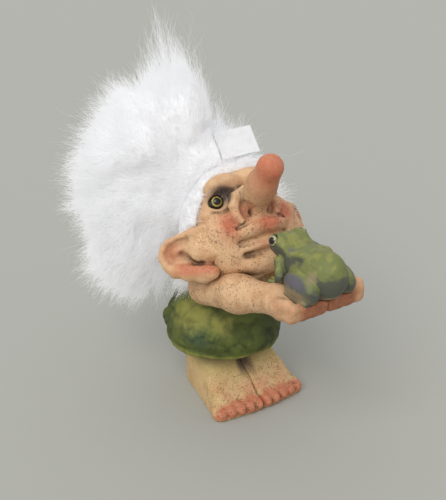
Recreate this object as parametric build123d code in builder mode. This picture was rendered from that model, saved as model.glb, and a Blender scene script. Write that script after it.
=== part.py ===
"""A troll figure that holds a frog up to its face, as separate moulded pieces with a fur wig.

Millimetres, +Z up, the figure faces -Y. The origin is on the floor under the middle of the tunic.
"""

from build123d import *
import os
from math import asin, cos, degrees, hypot, radians, sin

os.makedirs("parts", exist_ok=True)

# Gaps and clearances
seat_gap = 0.15
soft_gap = 0.3
peg_gap = 0.1

# Outlines of rounded solids
pole_share = 0.08
outline_steps = 8

# Legs and feet
foot_front = 30.0
foot_back = 9.5
foot_width = 24.0
heel_width = 16.5
toe_height = 6.5
leg_width = 17.0
leg_front = 13.0
leg_back = 8.5
leg_top = 34.0
instep_height = 22.0
leg_corner = 4.0
toe_count = 5
toe_radius = 2.9
toe_half_length = 4.2
leg_peg_radius = 4.0
leg_peg_length = 9.0

# Torso and tunic
hem_height = 25.0
hem_radius = 25.4
tunic_radius = 27.3
tunic_full_rise = 5.5
tunic_full_height = hem_height + tunic_full_rise
tunic_upper_radius = 23.8
collar_height = 53.5
tunic_upper_drop = 10.5
tunic_upper_height = collar_height - tunic_upper_drop
collar_radius = 17.0
tunic_wall = 2.4
torso_rise = 2.5
torso_top = collar_height + torso_rise
neck_radius = 7.0
core_web = 1.0
neck_peg_length = torso_top - leg_top - leg_peg_length - core_web

# Arms and hands
shoulder_width = 17.0
shoulder_front = 12.0
shoulder_rise = 6.0
shoulder_height = collar_height + shoulder_rise
shoulder_radius = 8.0
elbow_width = 16.5
upper_arm_reach = 26.0
upper_arm_rise = 9.0
elbow_front = shoulder_front + upper_arm_reach
elbow_height = shoulder_height + upper_arm_rise
elbow_radius = 7.2
wrist_width = 12.0
forearm_reach = 21.0
forearm_rise = 5.8
wrist_front = elbow_front + forearm_reach
wrist_height = elbow_height + forearm_rise
wrist_radius = 6.6
palm_width = 9.3
palm_reach = 7.0
palm_rise = 0.7
palm_front = wrist_front + palm_reach
palm_height = wrist_height + palm_rise
palm_radius = 10.3
palm_thickness = 9.6
finger_count = 4
finger_radius = 2.15
finger_rise = 2.6
finger_front = palm_front + palm_radius
finger_height = palm_height + finger_rise
thumb_radius = 2.9
thumb_reach = 6.0
thumb_front = palm_front + thumb_reach
arm_peg_radius = 2.0
arm_peg_length = 3.0

# Head
head_tilt = 36.0
skull_front = 9.5
skull_radius = 23.0
skull_half_length = 26.0
neck_show = 3.5
skull_drop = hypot(skull_half_length * cos(radians(head_tilt)), skull_radius * sin(radians(head_tilt)))
skull_height = torso_top + neck_show + skull_drop
brow_half_length = 10.0
brow_radius = 6.5
cheek_half_length = 7.0
cheek_radius = 6.4
upper_lip_half_length = 13.0
upper_lip_radius = 4.8
lower_lip_half_length = 10.5
lower_lip_radius = 3.0
chin_half_length = 12.0
chin_radius = 5.8
nostril_radius = 3.6
nose_length = 34.0
nose_root_radius = 6.1
nose_waist_radius = 5.3
nose_tip_radius = 6.0
nose_rise = 61.0

# Face places: across, up and out of the face, in shares of the skull's two radii
brow_shares = (0.33, 0.62, 0.62)
cheek_shares = (0.64, -0.10, 0.66)
upper_lip_shares = (0.0, -0.25, 0.90)
lower_lip_shares = (0.0, -0.52, 0.83)
chin_shares = (0.0, -0.77, 0.74)
nostril_shares = (0.27, 0.06, 0.91)
nose_root_shares = (0.0, 0.16, 0.72)
eye_shares = (0.58, 0.40, 0.61)
nose_waist_share = 0.50

# Glass eyes
eye_radius = 3.0
eye_stem_radius = 0.8
eye_stem_length = 6.0
frog_eye_radius = 2.3
frog_eye_stem_length = 2.5

# Ears
ear_sink = 1.0
ear_ahead = 12.5
ear_drop = 1.5
ear_width = skull_radius - ear_sink
ear_front = skull_front + ear_ahead
ear_height = skull_height - ear_drop
ear_radius = 11.5
ear_tip_radius = 5.0
ear_thickness = 6.0
ear_reach = 17.5
ear_bowl_share = 0.74
ear_middle_share = 0.41
ear_mid_radius_share = 0.82
ear_out_shares = (0.67, 0.72, -0.19)
ear_rise_shares = (0.0, 0.45, 0.89)
ear_peg_radius = 2.0
ear_peg_length = 6.0

# Wig
hairline_out = 5.5
hairline_lean = 20.0
cap_thickness = 1.5
fringe_thickness = 3.0
backing_drop = 14.5
backing_foot_height = skull_height - backing_drop
fringe_width = 6.0
pile_side_half_length = 44.0
pile_side_radius = 27.0
pile_top_half_length = 31.0
pile_top_radius = 24.0
pile_low_half_length = 27.0
pile_low_radius = 20.0
pile_crest_half_length = 24.0
pile_crest_radius = 9.0
pile_crown_radius = 19.0
pile_back_radius = 22.0
nape_ring_radius = 18.0
nape_ring_rise = 3.7
nape_ring_height = collar_height + nape_ring_rise
nape_ring_thickness = 6.6
nape_ring_arc = 170.0

# Pile places: across, back and up from the skull, in shares of its radius
pile_side_shares = (-1.30, 1.70, 0.45)
pile_top_shares = (-0.95, 1.40, 1.45)
pile_low_shares = (-1.40, 1.50, -0.75)
pile_crest_shares = (-0.65, 1.50, 2.75)
pile_crown_shares = (0.10, 0.80, 0.85)
pile_back_shares = (0.25, 0.75, -0.08)

# Hang tag
tag_width = 20.0
tag_length = 13.0
tag_card = 0.4
tag_out_share = 0.33
tag_rise = 1.3
tag_fold_gap = 0.15
tag_opening = 4.0
tag_side_room = 1.0

# Frog
frog_ahead = 3.0
frog_sink = 2.6
frog_half_length = 14.2
frog_radius = 10.2
frog_front = palm_front + frog_ahead
frog_height = palm_height + palm_thickness / 2 + frog_radius - frog_sink
frog_chest_half_length = 10.0
frog_chest_radius = 7.8
frog_head_width = 15.6
frog_head_radius = 5.8
frog_snout_width = 11.6
frog_snout_radius = 3.9
frog_bump_radius = 3.0
frog_bump_half_length = 3.6
frog_haunch_half_length = 10.0
frog_haunch_radius = 5.4
frog_leg_radius = 2.6
frog_foot_radius = 1.9

# Frog places: across, forward to its snout and up from its middle, in shares of its half length
frog_chest_shares = (0.0, 0.86, 0.11)
frog_head_shares = (0.0, 1.33, 0.36)
frog_snout_shares = (0.0, 1.66, 0.26)
frog_bump_shares = (0.40, 1.40, 0.53)
frog_eye_shares = (0.49, 1.40, 0.56)
frog_haunch_shares = (0.64, -0.12, -0.24)
frog_elbow_shares = (0.52, 1.05, 0.0)
frog_hand_shares = (0.60, 0.90, -0.50)

# Directions and places of the head
across = Vector(1, 0, 0)
face_up = Vector(0, sin(radians(head_tilt)), cos(radians(head_tilt)))
face_out = Vector(0, -cos(radians(head_tilt)), sin(radians(head_tilt)))
skull_centre = Vector(0, -skull_front, skull_height)
hairline_tilt = head_tilt - hairline_lean
hairline_out_way = Vector(0, -cos(radians(hairline_tilt)), sin(radians(hairline_tilt)))
nose_way = Vector(0, -cos(radians(nose_rise)), sin(radians(nose_rise)))
frog_centre = Vector(0, -frog_front, frog_height)


def on_face(shares, side=1):
    """A place given as shares of the skull: across, up the face, out of the face."""
    x, up, out = shares
    middle = skull_centre + face_up * (up * skull_half_length) + face_out * (out * skull_radius)
    return middle + across * (side * x * skull_radius)


def behind_skull(shares):
    """A place given as shares of the skull's radius: across, back and up."""
    x, back, up = shares
    return skull_centre + Vector(x, back, up) * skull_radius


def on_frog(shares, side=1):
    """A place given as shares of the frog's half length: across, forward and up."""
    x, ahead, up = shares
    return frog_centre + Vector(side * x, ahead, up) * frog_half_length


def lengthwise(place, way):
    """A plane through a place, with its X axis along the way given."""
    return Plane(origin=place, x_dir=way, z_dir=Plane(origin=place, z_dir=way).x_dir)


def add_spheroid(place, way, half_length, radius, mode=Mode.ADD):
    """A ball drawn out, or pressed flat, along the way given, with a small flat at each pole."""
    first_turn = degrees(asin(pole_share))
    turns = [first_turn + (180 - 2 * first_turn) * step / outline_steps for step in range(outline_steps + 1)]
    with BuildSketch(lengthwise(place, way)) as half_outline:
        with BuildLine():
            curve = Spline([(half_length * cos(radians(turn)), radius * sin(radians(turn)))
                            for turn in turns])
            Polyline(curve @ 1, ((curve @ 1).X, 0), ((curve @ 0).X, 0), curve @ 0)
        make_face()
    revolve(half_outline.sketch, axis=Axis(place, way), mode=mode)


def add_ball(place, radius, mode=Mode.ADD):
    """A ball at a place."""
    with Locations(place):
        Sphere(radius, mode=mode)


def add_taper(start, start_radius, end, end_radius, mode=Mode.ADD):
    """A round taper from one place to another."""
    run = end - start
    with BuildSketch(lengthwise(start, run)) as half_taper:
        with BuildLine():
            Polyline((0, 0), (0, start_radius), (run.length, end_radius), (run.length, 0), close=True)
        make_face()
    revolve(half_taper.sketch, axis=Axis(start, run), mode=mode)


def add_limb(stations, grow=0, mode=Mode.ADD):
    """Balls at the stations, joined by round tapers, all grown by the same amount."""
    for place, radius in stations:
        add_ball(place, radius + grow, mode)
    for (start, start_radius), (end, end_radius) in zip(stations, stations[1:]):
        add_taper(start, start_radius + grow, end, end_radius + grow, mode)


def add_skull(grow, mode):
    """The egg of the skull, grown by a clearance or a covering's thickness."""
    add_spheroid(skull_centre, face_up, skull_half_length + grow, skull_radius + grow, mode)


def add_brows(grow, mode=Mode.ADD):
    """Both brows, as long rounds across the forehead."""
    for side in (-1, 1):
        place = on_face(brow_shares, side)
        add_spheroid(place, across, brow_half_length + grow, brow_radius + grow, mode)


def add_cheeks(grow, mode=Mode.ADD):
    """Both cheeks."""
    for side in (-1, 1):
        place = on_face(cheek_shares, side)
        add_spheroid(place, across, cheek_half_length + grow, cheek_radius + grow, mode)


def add_chin(grow, mode=Mode.ADD):
    """The chin's roll."""
    add_spheroid(on_face(chin_shares), across, chin_half_length + grow, chin_radius + grow, mode)


def add_neck(grow, mode=Mode.ADD):
    """The neck, from the foot of its seat in the torso up into the skull."""
    foot = torso_top - neck_peg_length
    with Locations((0, 0, foot)):
        Cylinder(neck_radius + grow, skull_height - foot, mode=mode,
                 align=(Align.CENTER, Align.CENTER, Align.MIN))


def arm_stations(side):
    """Shoulder, elbow and wrist of one arm, with their radii."""
    shoulder = Vector(side * shoulder_width, -shoulder_front, shoulder_height)
    elbow = Vector(side * elbow_width, -elbow_front, elbow_height)
    wrist = Vector(side * wrist_width, -wrist_front, wrist_height)
    return [(shoulder, shoulder_radius), (elbow, elbow_radius), (wrist, wrist_radius)]


def add_frog_front_leg(side, grow, mode):
    """One front leg of the frog, from its elbow down to its hand."""
    elbow = on_frog(frog_elbow_shares, side)
    hand = on_frog(frog_hand_shares, side)
    run = hand - elbow
    half_length = run.length / 2 + frog_foot_radius
    add_spheroid((elbow + hand) / 2, run, half_length + grow, frog_leg_radius + grow, mode)


def add_frog_underside(grow, mode):
    """What of the frog the hands close round: its belly, haunches and front feet."""
    add_spheroid(frog_centre, Vector(0, 1, 0), frog_half_length + grow, frog_radius + grow, mode)
    for side in (-1, 1):
        haunch = on_frog(frog_haunch_shares, side)
        add_spheroid(haunch, Vector(0, 1, 0), frog_haunch_half_length + grow, frog_haunch_radius + grow, mode)
        add_frog_front_leg(side, grow, mode)


def add_eye(place, out_way, ball_radius, stem_radius, stem_length, mode=Mode.ADD):
    """A round eye, and the stem behind it that holds it in its socket."""
    with Locations(Plane(origin=place, z_dir=out_way)):
        Sphere(ball_radius, mode=mode)
        Cylinder(stem_radius, ball_radius + stem_length, mode=mode,
                 align=(Align.CENTER, Align.CENTER, Align.MAX))


ear_rounds = ((ear_middle_share, ear_radius),
              ((1 + ear_middle_share) / 2, ear_radius * ear_mid_radius_share),
              (1, ear_tip_radius))


def ear_ways(side):
    """The ear's own directions: out to its tip, and up its rim."""
    out, back, down = ear_out_shares
    ear_out = Vector(side * out, back, down).normalized()
    rise = Vector(*ear_rise_shares)
    ear_rise = (rise - ear_out * rise.dot(ear_out)).normalized()
    return ear_out, ear_rise


def save(piece, name):
    """Label a finished piece and write it."""
    piece.part.label = name
    export_step(piece.part, f"parts/{name}.step")


def save_mirrored(piece, name):
    """Write the other side's twin of a piece, mirrored across the figure's middle."""
    with BuildPart() as twin:
        add(mirror(piece.part, about=Plane.YZ, mode=Mode.PRIVATE))
    save(twin, name)


# Legs: two wedges, broad at the toes, that meet on a flat seam
def leg_section(side, height, front, back, front_width, back_width):
    """One level of a leg: straight along the seam, with its outer corners rounded."""
    with BuildSketch(Plane.XY.offset(height)) as section:
        with BuildLine():
            Polyline((0, back), (side * back_width, back), (side * front_width, -front), (0, -front),
                     close=True)
        make_face()
        outer = section.vertices().filter_by(lambda corner: side * corner.X > heel_width / 2)
        fillet(outer, radius=leg_corner)
    return section.sketch


leg_peg_x = leg_width / 2
with BuildPart() as right_leg:
    loft([leg_section(-1, 0, foot_front, foot_back, foot_width, heel_width),
          leg_section(-1, toe_height, foot_front, foot_back, foot_width, heel_width),
          leg_section(-1, instep_height, leg_front, leg_back, leg_width, leg_width),
          leg_section(-1, leg_top, leg_front, leg_back, leg_width, leg_width)], ruled=True)
    toe_pitch = foot_width / toe_count
    for toe in range(toe_count):
        toe_place = Vector(-toe_pitch * (toe + 1 / 2), -foot_front, toe_radius)
        add_spheroid(toe_place, Vector(0, 1, 0), toe_half_length, toe_radius)
    split(bisect_by=Plane.XY, keep=Keep.TOP)
    split(bisect_by=Plane.YZ, keep=Keep.BOTTOM)
    with Locations((-leg_peg_x, 0, leg_top)):
        Cylinder(leg_peg_radius, leg_peg_length, align=(Align.CENTER, Align.CENTER, Align.MIN))
save(right_leg, "right_leg")
save_mirrored(right_leg, "left_leg")

# Torso: the core that carries the legs, arms, head and tunic
def bell_points(inset):
    """The tunic's outline from hem to collar, drawn in by an inset."""
    return [(hem_radius - inset, hem_height), (tunic_radius - inset, tunic_full_height),
            (tunic_upper_radius - inset, tunic_upper_height), (collar_radius - inset, collar_height)]


def add_arm_peg(side, grow, mode=Mode.ADD):
    """The peg that runs from a shoulder into the torso."""
    shoulder = arm_stations(side)[0][0]
    inward = (Vector(0, 0, torso_top - arm_peg_length) - shoulder).normalized()
    add_taper(shoulder, arm_peg_radius + grow, shoulder + inward * (shoulder_radius + arm_peg_length + grow),
              arm_peg_radius + grow, mode)


with BuildPart() as torso_core:
    with BuildSketch(Plane.XZ):
        with BuildLine():
            wall = Spline(bell_points(tunic_wall + seat_gap))
            Polyline(wall @ 1, (collar_radius - tunic_wall - seat_gap, torso_top), (0, torso_top),
                     (0, hem_height), wall @ 0)
        make_face()
    revolve(axis=Axis.Z)
    split(bisect_by=Plane.XY.offset(leg_top), keep=Keep.TOP)
    for side in (-1, 1):
        with Locations((side * leg_peg_x, 0, leg_top)):
            Cylinder(leg_peg_radius + peg_gap, leg_peg_length + peg_gap, mode=Mode.SUBTRACT,
                     align=(Align.CENTER, Align.CENTER, Align.MIN))
        add_limb(arm_stations(side)[:2], seat_gap, Mode.SUBTRACT)
        add_arm_peg(side, peg_gap, Mode.SUBTRACT)
    with Locations((0, 0, torso_top)):
        Cylinder(neck_radius + peg_gap, neck_peg_length + peg_gap, mode=Mode.SUBTRACT,
                 align=(Align.CENTER, Align.CENTER, Align.MAX))
save(torso_core, "torso_core")

# Tunic: a bell with a rolled hem, open below for the legs and above for the neck
with BuildPart() as tunic:
    with BuildSketch(Plane.XZ):
        with BuildLine():
            outside = Spline(bell_points(0))
            inside = Spline(bell_points(tunic_wall))
            Line(outside @ 1, inside @ 1)
            Line(inside @ 0, outside @ 0)
        make_face()
    revolve(axis=Axis.Z)
    for side in (-1, 1):
        add_limb(arm_stations(side)[:2], seat_gap, Mode.SUBTRACT)
save(tunic, "tunic")

# Arms: upper arm, forearm, cupped palm, four fingers and a thumb
right_palm = Vector(-palm_width, -palm_front, palm_height)
with BuildPart() as right_arm:
    add_limb(arm_stations(-1))
    add_spheroid(right_palm, Vector(0, 0, 1), palm_thickness / 2, palm_radius)
    finger_pitch = 2 * (palm_width - finger_radius) / (finger_count - 1)
    for finger in range(finger_count):
        finger_x = -seat_gap - finger_radius - finger * finger_pitch
        knuckle = Vector(finger_x, -palm_front - palm_radius / 2, palm_height)
        fingertip = Vector(finger_x, -finger_front, finger_height)
        add_limb([(knuckle, finger_radius), (fingertip, finger_radius)])
    thumb_x = thumb_radius - palm_width - palm_radius
    add_limb([(arm_stations(-1)[2][0], thumb_radius), (Vector(thumb_x, -palm_front, palm_height), thumb_radius),
              (Vector(thumb_x + thumb_radius, -thumb_front, finger_height), thumb_radius)])
    split(bisect_by=Plane.YZ.offset(-seat_gap / 2), keep=Keep.BOTTOM)
    add_arm_peg(-1, 0)
    add_skull(soft_gap, Mode.SUBTRACT)
    add_chin(soft_gap, Mode.SUBTRACT)
    add_frog_underside(seat_gap, Mode.SUBTRACT)
save(right_arm, "right_arm")
save_mirrored(right_arm, "left_arm")

# Head: the skull with its features, sockets for the eyes and ears, and the neck's peg
nose_root = on_face(nose_root_shares)
with BuildPart() as head:
    add_skull(0, Mode.ADD)
    add_brows(0)
    add_chin(0)
    add_spheroid(on_face(upper_lip_shares), across, upper_lip_half_length, upper_lip_radius)
    add_spheroid(on_face(lower_lip_shares), across, lower_lip_half_length, lower_lip_radius)
    add_cheeks(0)
    for side in (-1, 1):
        add_ball(on_face(nostril_shares, side), nostril_radius)
    add_limb([(nose_root, nose_root_radius),
              (nose_root + nose_way * (nose_length * nose_waist_share), nose_waist_radius),
              (nose_root + nose_way * (nose_length - nose_tip_radius), nose_tip_radius)])
    add_neck(0)
    for side in (-1, 1):
        add_eye(on_face(eye_shares, side), face_out, eye_radius + seat_gap, eye_stem_radius + peg_gap,
                eye_stem_length + peg_gap, Mode.SUBTRACT)
        ear_root = Vector(side * ear_width, -ear_front, ear_height)
        ear_out, ear_rise = ear_ways(side)
        add_taper(ear_root + ear_out * ear_peg_length, ear_peg_radius + peg_gap,
                  ear_root - ear_out * (ear_peg_length + peg_gap), ear_peg_radius + peg_gap, Mode.SUBTRACT)
save(head, "head")

# Ears: round leaves that narrow to the tip, with a hollow bowl in front
ear_root = Vector(-ear_width, -ear_front, ear_height)
ear_out, ear_rise = ear_ways(-1)
ear_face = ear_rise.cross(ear_out)
ear_middle = ear_root + ear_out * (ear_reach * ear_middle_share)
with BuildPart() as right_ear:
    for share, radius in ear_rounds:
        add_spheroid(ear_root + ear_out * (ear_reach * share), ear_face, ear_thickness / 2, radius)
    bowl = ear_middle + ear_face * (ear_thickness / 2)
    add_spheroid(bowl, ear_face, ear_thickness / 2, ear_radius * ear_bowl_share, Mode.SUBTRACT)
    add_skull(seat_gap, Mode.SUBTRACT)
    add_cheeks(seat_gap, Mode.SUBTRACT)
    add_limb(arm_stations(-1), soft_gap, Mode.SUBTRACT)
    add_taper(ear_middle, ear_peg_radius, ear_root - ear_out * ear_peg_length, ear_peg_radius)
save(right_ear, "right_ear")
save_mirrored(right_ear, "left_ear")

# Glass eyes: a ball with a stem that holds it in its socket
for side, name in ((-1, "right_eye"), (1, "left_eye")):
    with BuildPart() as eye:
        add_eye(on_face(eye_shares, side), face_out, eye_radius, eye_stem_radius, eye_stem_length)
    save(eye, name)

# Frog: belly, chest, wide head with raised eyes, haunches and front legs
with BuildPart() as frog_body:
    add_frog_underside(0, Mode.ADD)
    add_spheroid(on_frog(frog_chest_shares), Vector(0, 1, 0), frog_chest_half_length, frog_chest_radius)
    add_spheroid(on_frog(frog_head_shares), across, frog_head_width / 2, frog_head_radius)
    add_spheroid(on_frog(frog_snout_shares), across, frog_snout_width / 2, frog_snout_radius)
    for side in (-1, 1):
        bump = on_frog(frog_bump_shares, side)
        add_spheroid(bump, Vector(0, 0, 1), frog_bump_half_length, frog_bump_radius)
    for side in (-1, 1):
        add_eye(on_frog(frog_eye_shares, side), across * side, frog_eye_radius + seat_gap,
                eye_stem_radius + peg_gap, frog_eye_stem_length + peg_gap, Mode.SUBTRACT)
save(frog_body, "frog_body")

for side, name in ((-1, "frog_left_eye"), (1, "frog_right_eye")):
    with BuildPart() as frog_eye:
        add_eye(on_frog(frog_eye_shares, side), across * side, frog_eye_radius, eye_stem_radius,
                frog_eye_stem_length)
    save(frog_eye, name)

# Wig: a thin backing behind the hairline, a fringe along it and the long pile
hairline = Plane(origin=skull_centre + face_out * hairline_out, z_dir=hairline_out_way)
fringe_back = hairline.offset(-fringe_width)


def cut_ears(grow):
    """Clear both ears out of the piece being made."""
    for side in (-1, 1):
        ear_root = Vector(side * ear_width, -ear_front, ear_height)
        ear_out, ear_rise = ear_ways(side)
        ear_face = ear_out.cross(ear_rise)
        for share, radius in ear_rounds:
            place = ear_root + ear_out * (ear_reach * share)
            add_spheroid(place, ear_face, ear_thickness / 2 + grow, radius + grow, Mode.SUBTRACT)


with BuildPart() as wig_backing:
    add_skull(seat_gap + cap_thickness, Mode.ADD)
    split(bisect_by=fringe_back.offset(-soft_gap), keep=Keep.BOTTOM)
    add_skull(seat_gap, Mode.SUBTRACT)
    split(bisect_by=Plane.XY.offset(backing_foot_height), keep=Keep.TOP)
    add_neck(soft_gap, Mode.SUBTRACT)
    cut_ears(soft_gap)
    for side in (-1, 1):
        add_limb(arm_stations(side)[:2], soft_gap, Mode.SUBTRACT)
save(wig_backing, "wig_backing")

tag_place = skull_centre + face_out * (skull_radius * tag_out_share)
tag_foot_rise = skull_half_length + cap_thickness + tag_rise
tag_back_plane = Plane(origin=tag_place, x_dir=across, z_dir=face_out)

with BuildPart() as wig_fringe:
    add_skull(seat_gap + fringe_thickness, Mode.ADD)
    split(bisect_by=hairline, keep=Keep.BOTTOM)
    split(bisect_by=fringe_back, keep=Keep.TOP)
    add_skull(seat_gap, Mode.SUBTRACT)
    split(bisect_by=Plane(origin=skull_centre, z_dir=face_up), keep=Keep.TOP)
    add_brows(soft_gap, Mode.SUBTRACT)
    cut_ears(soft_gap)
save(wig_fringe, "wig_fringe")

with BuildPart() as wig_pile:
    add_spheroid(behind_skull(pile_side_shares), Vector(0, 0, 1), pile_side_half_length, pile_side_radius)
    add_spheroid(behind_skull(pile_top_shares), Vector(0, 0, 1), pile_top_half_length, pile_top_radius)
    add_spheroid(behind_skull(pile_low_shares), Vector(0, 0, 1), pile_low_half_length, pile_low_radius)
    add_spheroid(behind_skull(pile_crest_shares), Vector(0, 0, 1), pile_crest_half_length, pile_crest_radius)
    for shares, radius in ((pile_crown_shares, pile_crown_radius), (pile_back_shares, pile_back_radius)):
        add_spheroid(behind_skull(shares), Vector(0, 0, 1), radius, radius)
    add_skull(seat_gap + cap_thickness + soft_gap, Mode.SUBTRACT)
    add_neck(soft_gap, Mode.SUBTRACT)
    with Locations(tag_back_plane.offset(-tag_card - soft_gap)):
        with Locations((-tag_side_room, 0)):
            Box(tag_width + 2 * tag_side_room, 4 * pile_top_half_length, 2 * pile_top_half_length,
                mode=Mode.SUBTRACT,
                align=(Align.MIN, Align.CENTER, Align.MIN))
    split(bisect_by=fringe_back.offset(-soft_gap), keep=Keep.BOTTOM)
    cut_ears(soft_gap)
save(wig_pile, "wig_pile")

# Nape fur: a soft half ring behind the neck, between the head and the collar
with BuildPart() as nape_fur:
    ring_start = (180 - nape_ring_arc) / 2
    with BuildLine() as nape_line:
        CenterArc((0, 0, nape_ring_height), nape_ring_radius, ring_start, nape_ring_arc)
    with BuildSketch(Plane(origin=nape_line.line @ 0, z_dir=nape_line.line % 0)):
        Circle(nape_ring_thickness / 2)
    sweep(path=nape_line.line)
    for end, way in ((nape_line.line @ 0, nape_line.line % 0), (nape_line.line @ 1, nape_line.line % 1)):
        add_spheroid(end, way, nape_ring_thickness / 2, nape_ring_thickness / 2)
    add_skull(seat_gap + cap_thickness + soft_gap, Mode.SUBTRACT)
    cut_ears(soft_gap)
save(nape_fur, "nape_fur")

# Hang tag: a folded card, its back leaf on the pile and its front leaf free to lift at the fold
tag_fold = tag_place + face_up * (tag_foot_rise + tag_length)
tag_middle = tag_fold + across * (tag_width / 2)
back_leaf_middle = tag_middle - face_up * (tag_fold_gap + tag_length / 2) - face_out * (tag_card / 2)
with BuildPart() as tag_back_leaf:
    with BuildSketch(Plane(origin=back_leaf_middle, x_dir=across, z_dir=face_out)):
        Rectangle(tag_width, tag_length - tag_fold_gap)
    extrude(amount=tag_card / 2, both=True)
save(tag_back_leaf, "tag_back_leaf")

leaf_lean = radians(tag_opening)
leaf_down = face_out * sin(leaf_lean) - face_up * cos(leaf_lean)
leaf_out = face_out * cos(leaf_lean) + face_up * sin(leaf_lean)
front_leaf_middle = tag_middle + leaf_down * (tag_fold_gap + tag_length / 2)
front_leaf_middle += leaf_out * (tag_card / 2 + tag_fold_gap)
with BuildPart() as tag_front_leaf:
    with BuildSketch(Plane(origin=front_leaf_middle, x_dir=across, z_dir=leaf_out)):
        Rectangle(tag_width, tag_length - tag_fold_gap)
    extrude(amount=tag_card / 2, both=True)
save(tag_front_leaf, "tag_front_leaf")

print("tag fold at", tag_fold)
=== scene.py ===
"""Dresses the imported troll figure: moulded and painted castings, glass eyes, long white fur and a card tag.

Lengths in the shapes are millimetres, in the frame's own directions: +Z up, the figure faces -Y, and its
right side is -X. They become metres where a mesh is made.
"""

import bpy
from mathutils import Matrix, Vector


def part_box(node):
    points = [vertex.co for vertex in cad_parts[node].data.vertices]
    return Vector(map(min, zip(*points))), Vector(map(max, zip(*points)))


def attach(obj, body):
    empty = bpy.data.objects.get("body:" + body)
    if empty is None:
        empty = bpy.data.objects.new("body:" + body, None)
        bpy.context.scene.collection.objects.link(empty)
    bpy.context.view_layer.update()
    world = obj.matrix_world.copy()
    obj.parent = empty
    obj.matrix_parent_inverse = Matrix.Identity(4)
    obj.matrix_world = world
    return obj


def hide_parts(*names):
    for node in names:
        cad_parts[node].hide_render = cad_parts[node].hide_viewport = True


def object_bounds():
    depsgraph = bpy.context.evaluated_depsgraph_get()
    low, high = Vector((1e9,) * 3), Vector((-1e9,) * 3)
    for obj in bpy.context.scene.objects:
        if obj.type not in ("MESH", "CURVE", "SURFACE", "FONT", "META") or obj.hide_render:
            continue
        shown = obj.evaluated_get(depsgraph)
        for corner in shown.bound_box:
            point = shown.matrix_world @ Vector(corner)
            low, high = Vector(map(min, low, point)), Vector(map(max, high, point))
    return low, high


bl_info = {
    "name": "Troll figure with a frog",
    "version": (1, 0, 0),
    "blender": (4, 5, 0),
    "location": "3D View > Sidebar > Troll",
    "description": "Builds the painted castings, glass eyes, fur wig and card tag of a small troll figure",
    "category": "Add Mesh",
}

from itertools import product
from math import cos, pi, radians, sin, sqrt

import bpy
import numpy as np
from mathutils import Vector

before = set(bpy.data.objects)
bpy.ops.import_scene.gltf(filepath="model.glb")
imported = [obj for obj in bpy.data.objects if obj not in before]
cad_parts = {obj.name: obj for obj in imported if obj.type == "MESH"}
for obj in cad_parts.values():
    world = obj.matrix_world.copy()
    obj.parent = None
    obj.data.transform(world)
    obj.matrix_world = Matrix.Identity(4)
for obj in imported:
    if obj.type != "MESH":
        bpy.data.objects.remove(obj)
cad_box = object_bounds()

MM = 0.001


# Sizes and colours that a user would change

def length(name, description, default):
    """A length setting, kept in millimetres."""
    return bpy.props.FloatProperty(name=name, description=description, default=default, min=0)


def count(name, description, default):
    """A setting that counts something."""
    return bpy.props.IntProperty(name=name, description=description, default=default, min=1)


def angle(name, description, degrees):
    """An angle setting."""
    return bpy.props.FloatProperty(name=name, description=description, default=radians(degrees),
                                   subtype="ANGLE")


def colour(name, description, red, green, blue):
    """A colour setting."""
    return bpy.props.FloatVectorProperty(name=name, description=description, default=(red, green, blue),
                                         size=3, min=0, max=1, subtype="COLOR")


class CastingSettings(bpy.types.PropertyGroup):
    """How finely the castings are modelled, and how rough their clay was."""
    step: length("Grid step", "Distance between the points that a casting is measured on", 0.55)
    fine_step: length("Fine grid step", "The same for the face, the frog and the hands", 0.45)
    lump: length("Clay lumps", "Height of the soft lumps left in the clay", 0.16)
    # The crease wash is a brown wash with painted shade: it darkens most where a form is most enclosed.
    crease_reach: length("Crease reach", "How far from a crease the brown wash settles", 3.2)


class PaintSettings(bpy.types.PropertyGroup):
    """Colours of the painted castings."""
    skin: colour("Skin", "Pale tan of the skin", 0.71, 0.455, 0.255)
    skin_deep: colour("Deep skin", "Warmer tan in the skin's patches", 0.55, 0.30, 0.145)
    blush: colour("Blush", "Orange pink of the cheeks, lips, fingers and toes", 0.52, 0.145, 0.075)
    # The wash colour is a real brown wash in pores and cracks, and in creases it is also painted shade.
    wash_and_shade: colour("Wash", "Brown wash in the creases and pores", 0.085, 0.045, 0.022)
    stain: colour("Stain", "Rust brown of nostrils, finger ends and the ears' grooves", 0.22, 0.075, 0.03)
    hem_green: colour("Sprayed green", "Olive sprayed past the tunic's hem onto the legs", 0.42, 0.34, 0.105)
    # The same blue black also paints shade between the legs and under the tunic's hem.
    shadow: colour("Eye shadow", "Blue black paint round the eyes", 0.018, 0.022, 0.035)
    tunic: colour("Tunic", "Green of the tunic", 0.106, 0.132, 0.025)
    tunic_deep: colour("Tunic shade", "Dark green in the tunic's folds", 0.040, 0.055, 0.018)
    # On the tunic the ochre is also painted highlight on the raised facets and on the side towards the key
    # lamp.
    ochre: colour("Ochre", "Dry brushed ochre on the tunic and the frog", 0.34, 0.315, 0.075)
    frog: colour("Frog", "Olive green of the frog's back", 0.165, 0.185, 0.055)
    frog_side: colour("Frog's side", "Grey green of the frog's sides", 0.088, 0.094, 0.066)
    frog_belly: colour("Frog's belly", "Beige of the frog's haunches and belly", 0.27, 0.215, 0.125)
    # The frog's dark spots are real markings on the back and haunch, and painted shade between the limbs.
    frog_dark: colour("Frog's spots", "Dark blue grey between the frog's limbs", 0.055, 0.055, 0.062)


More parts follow.
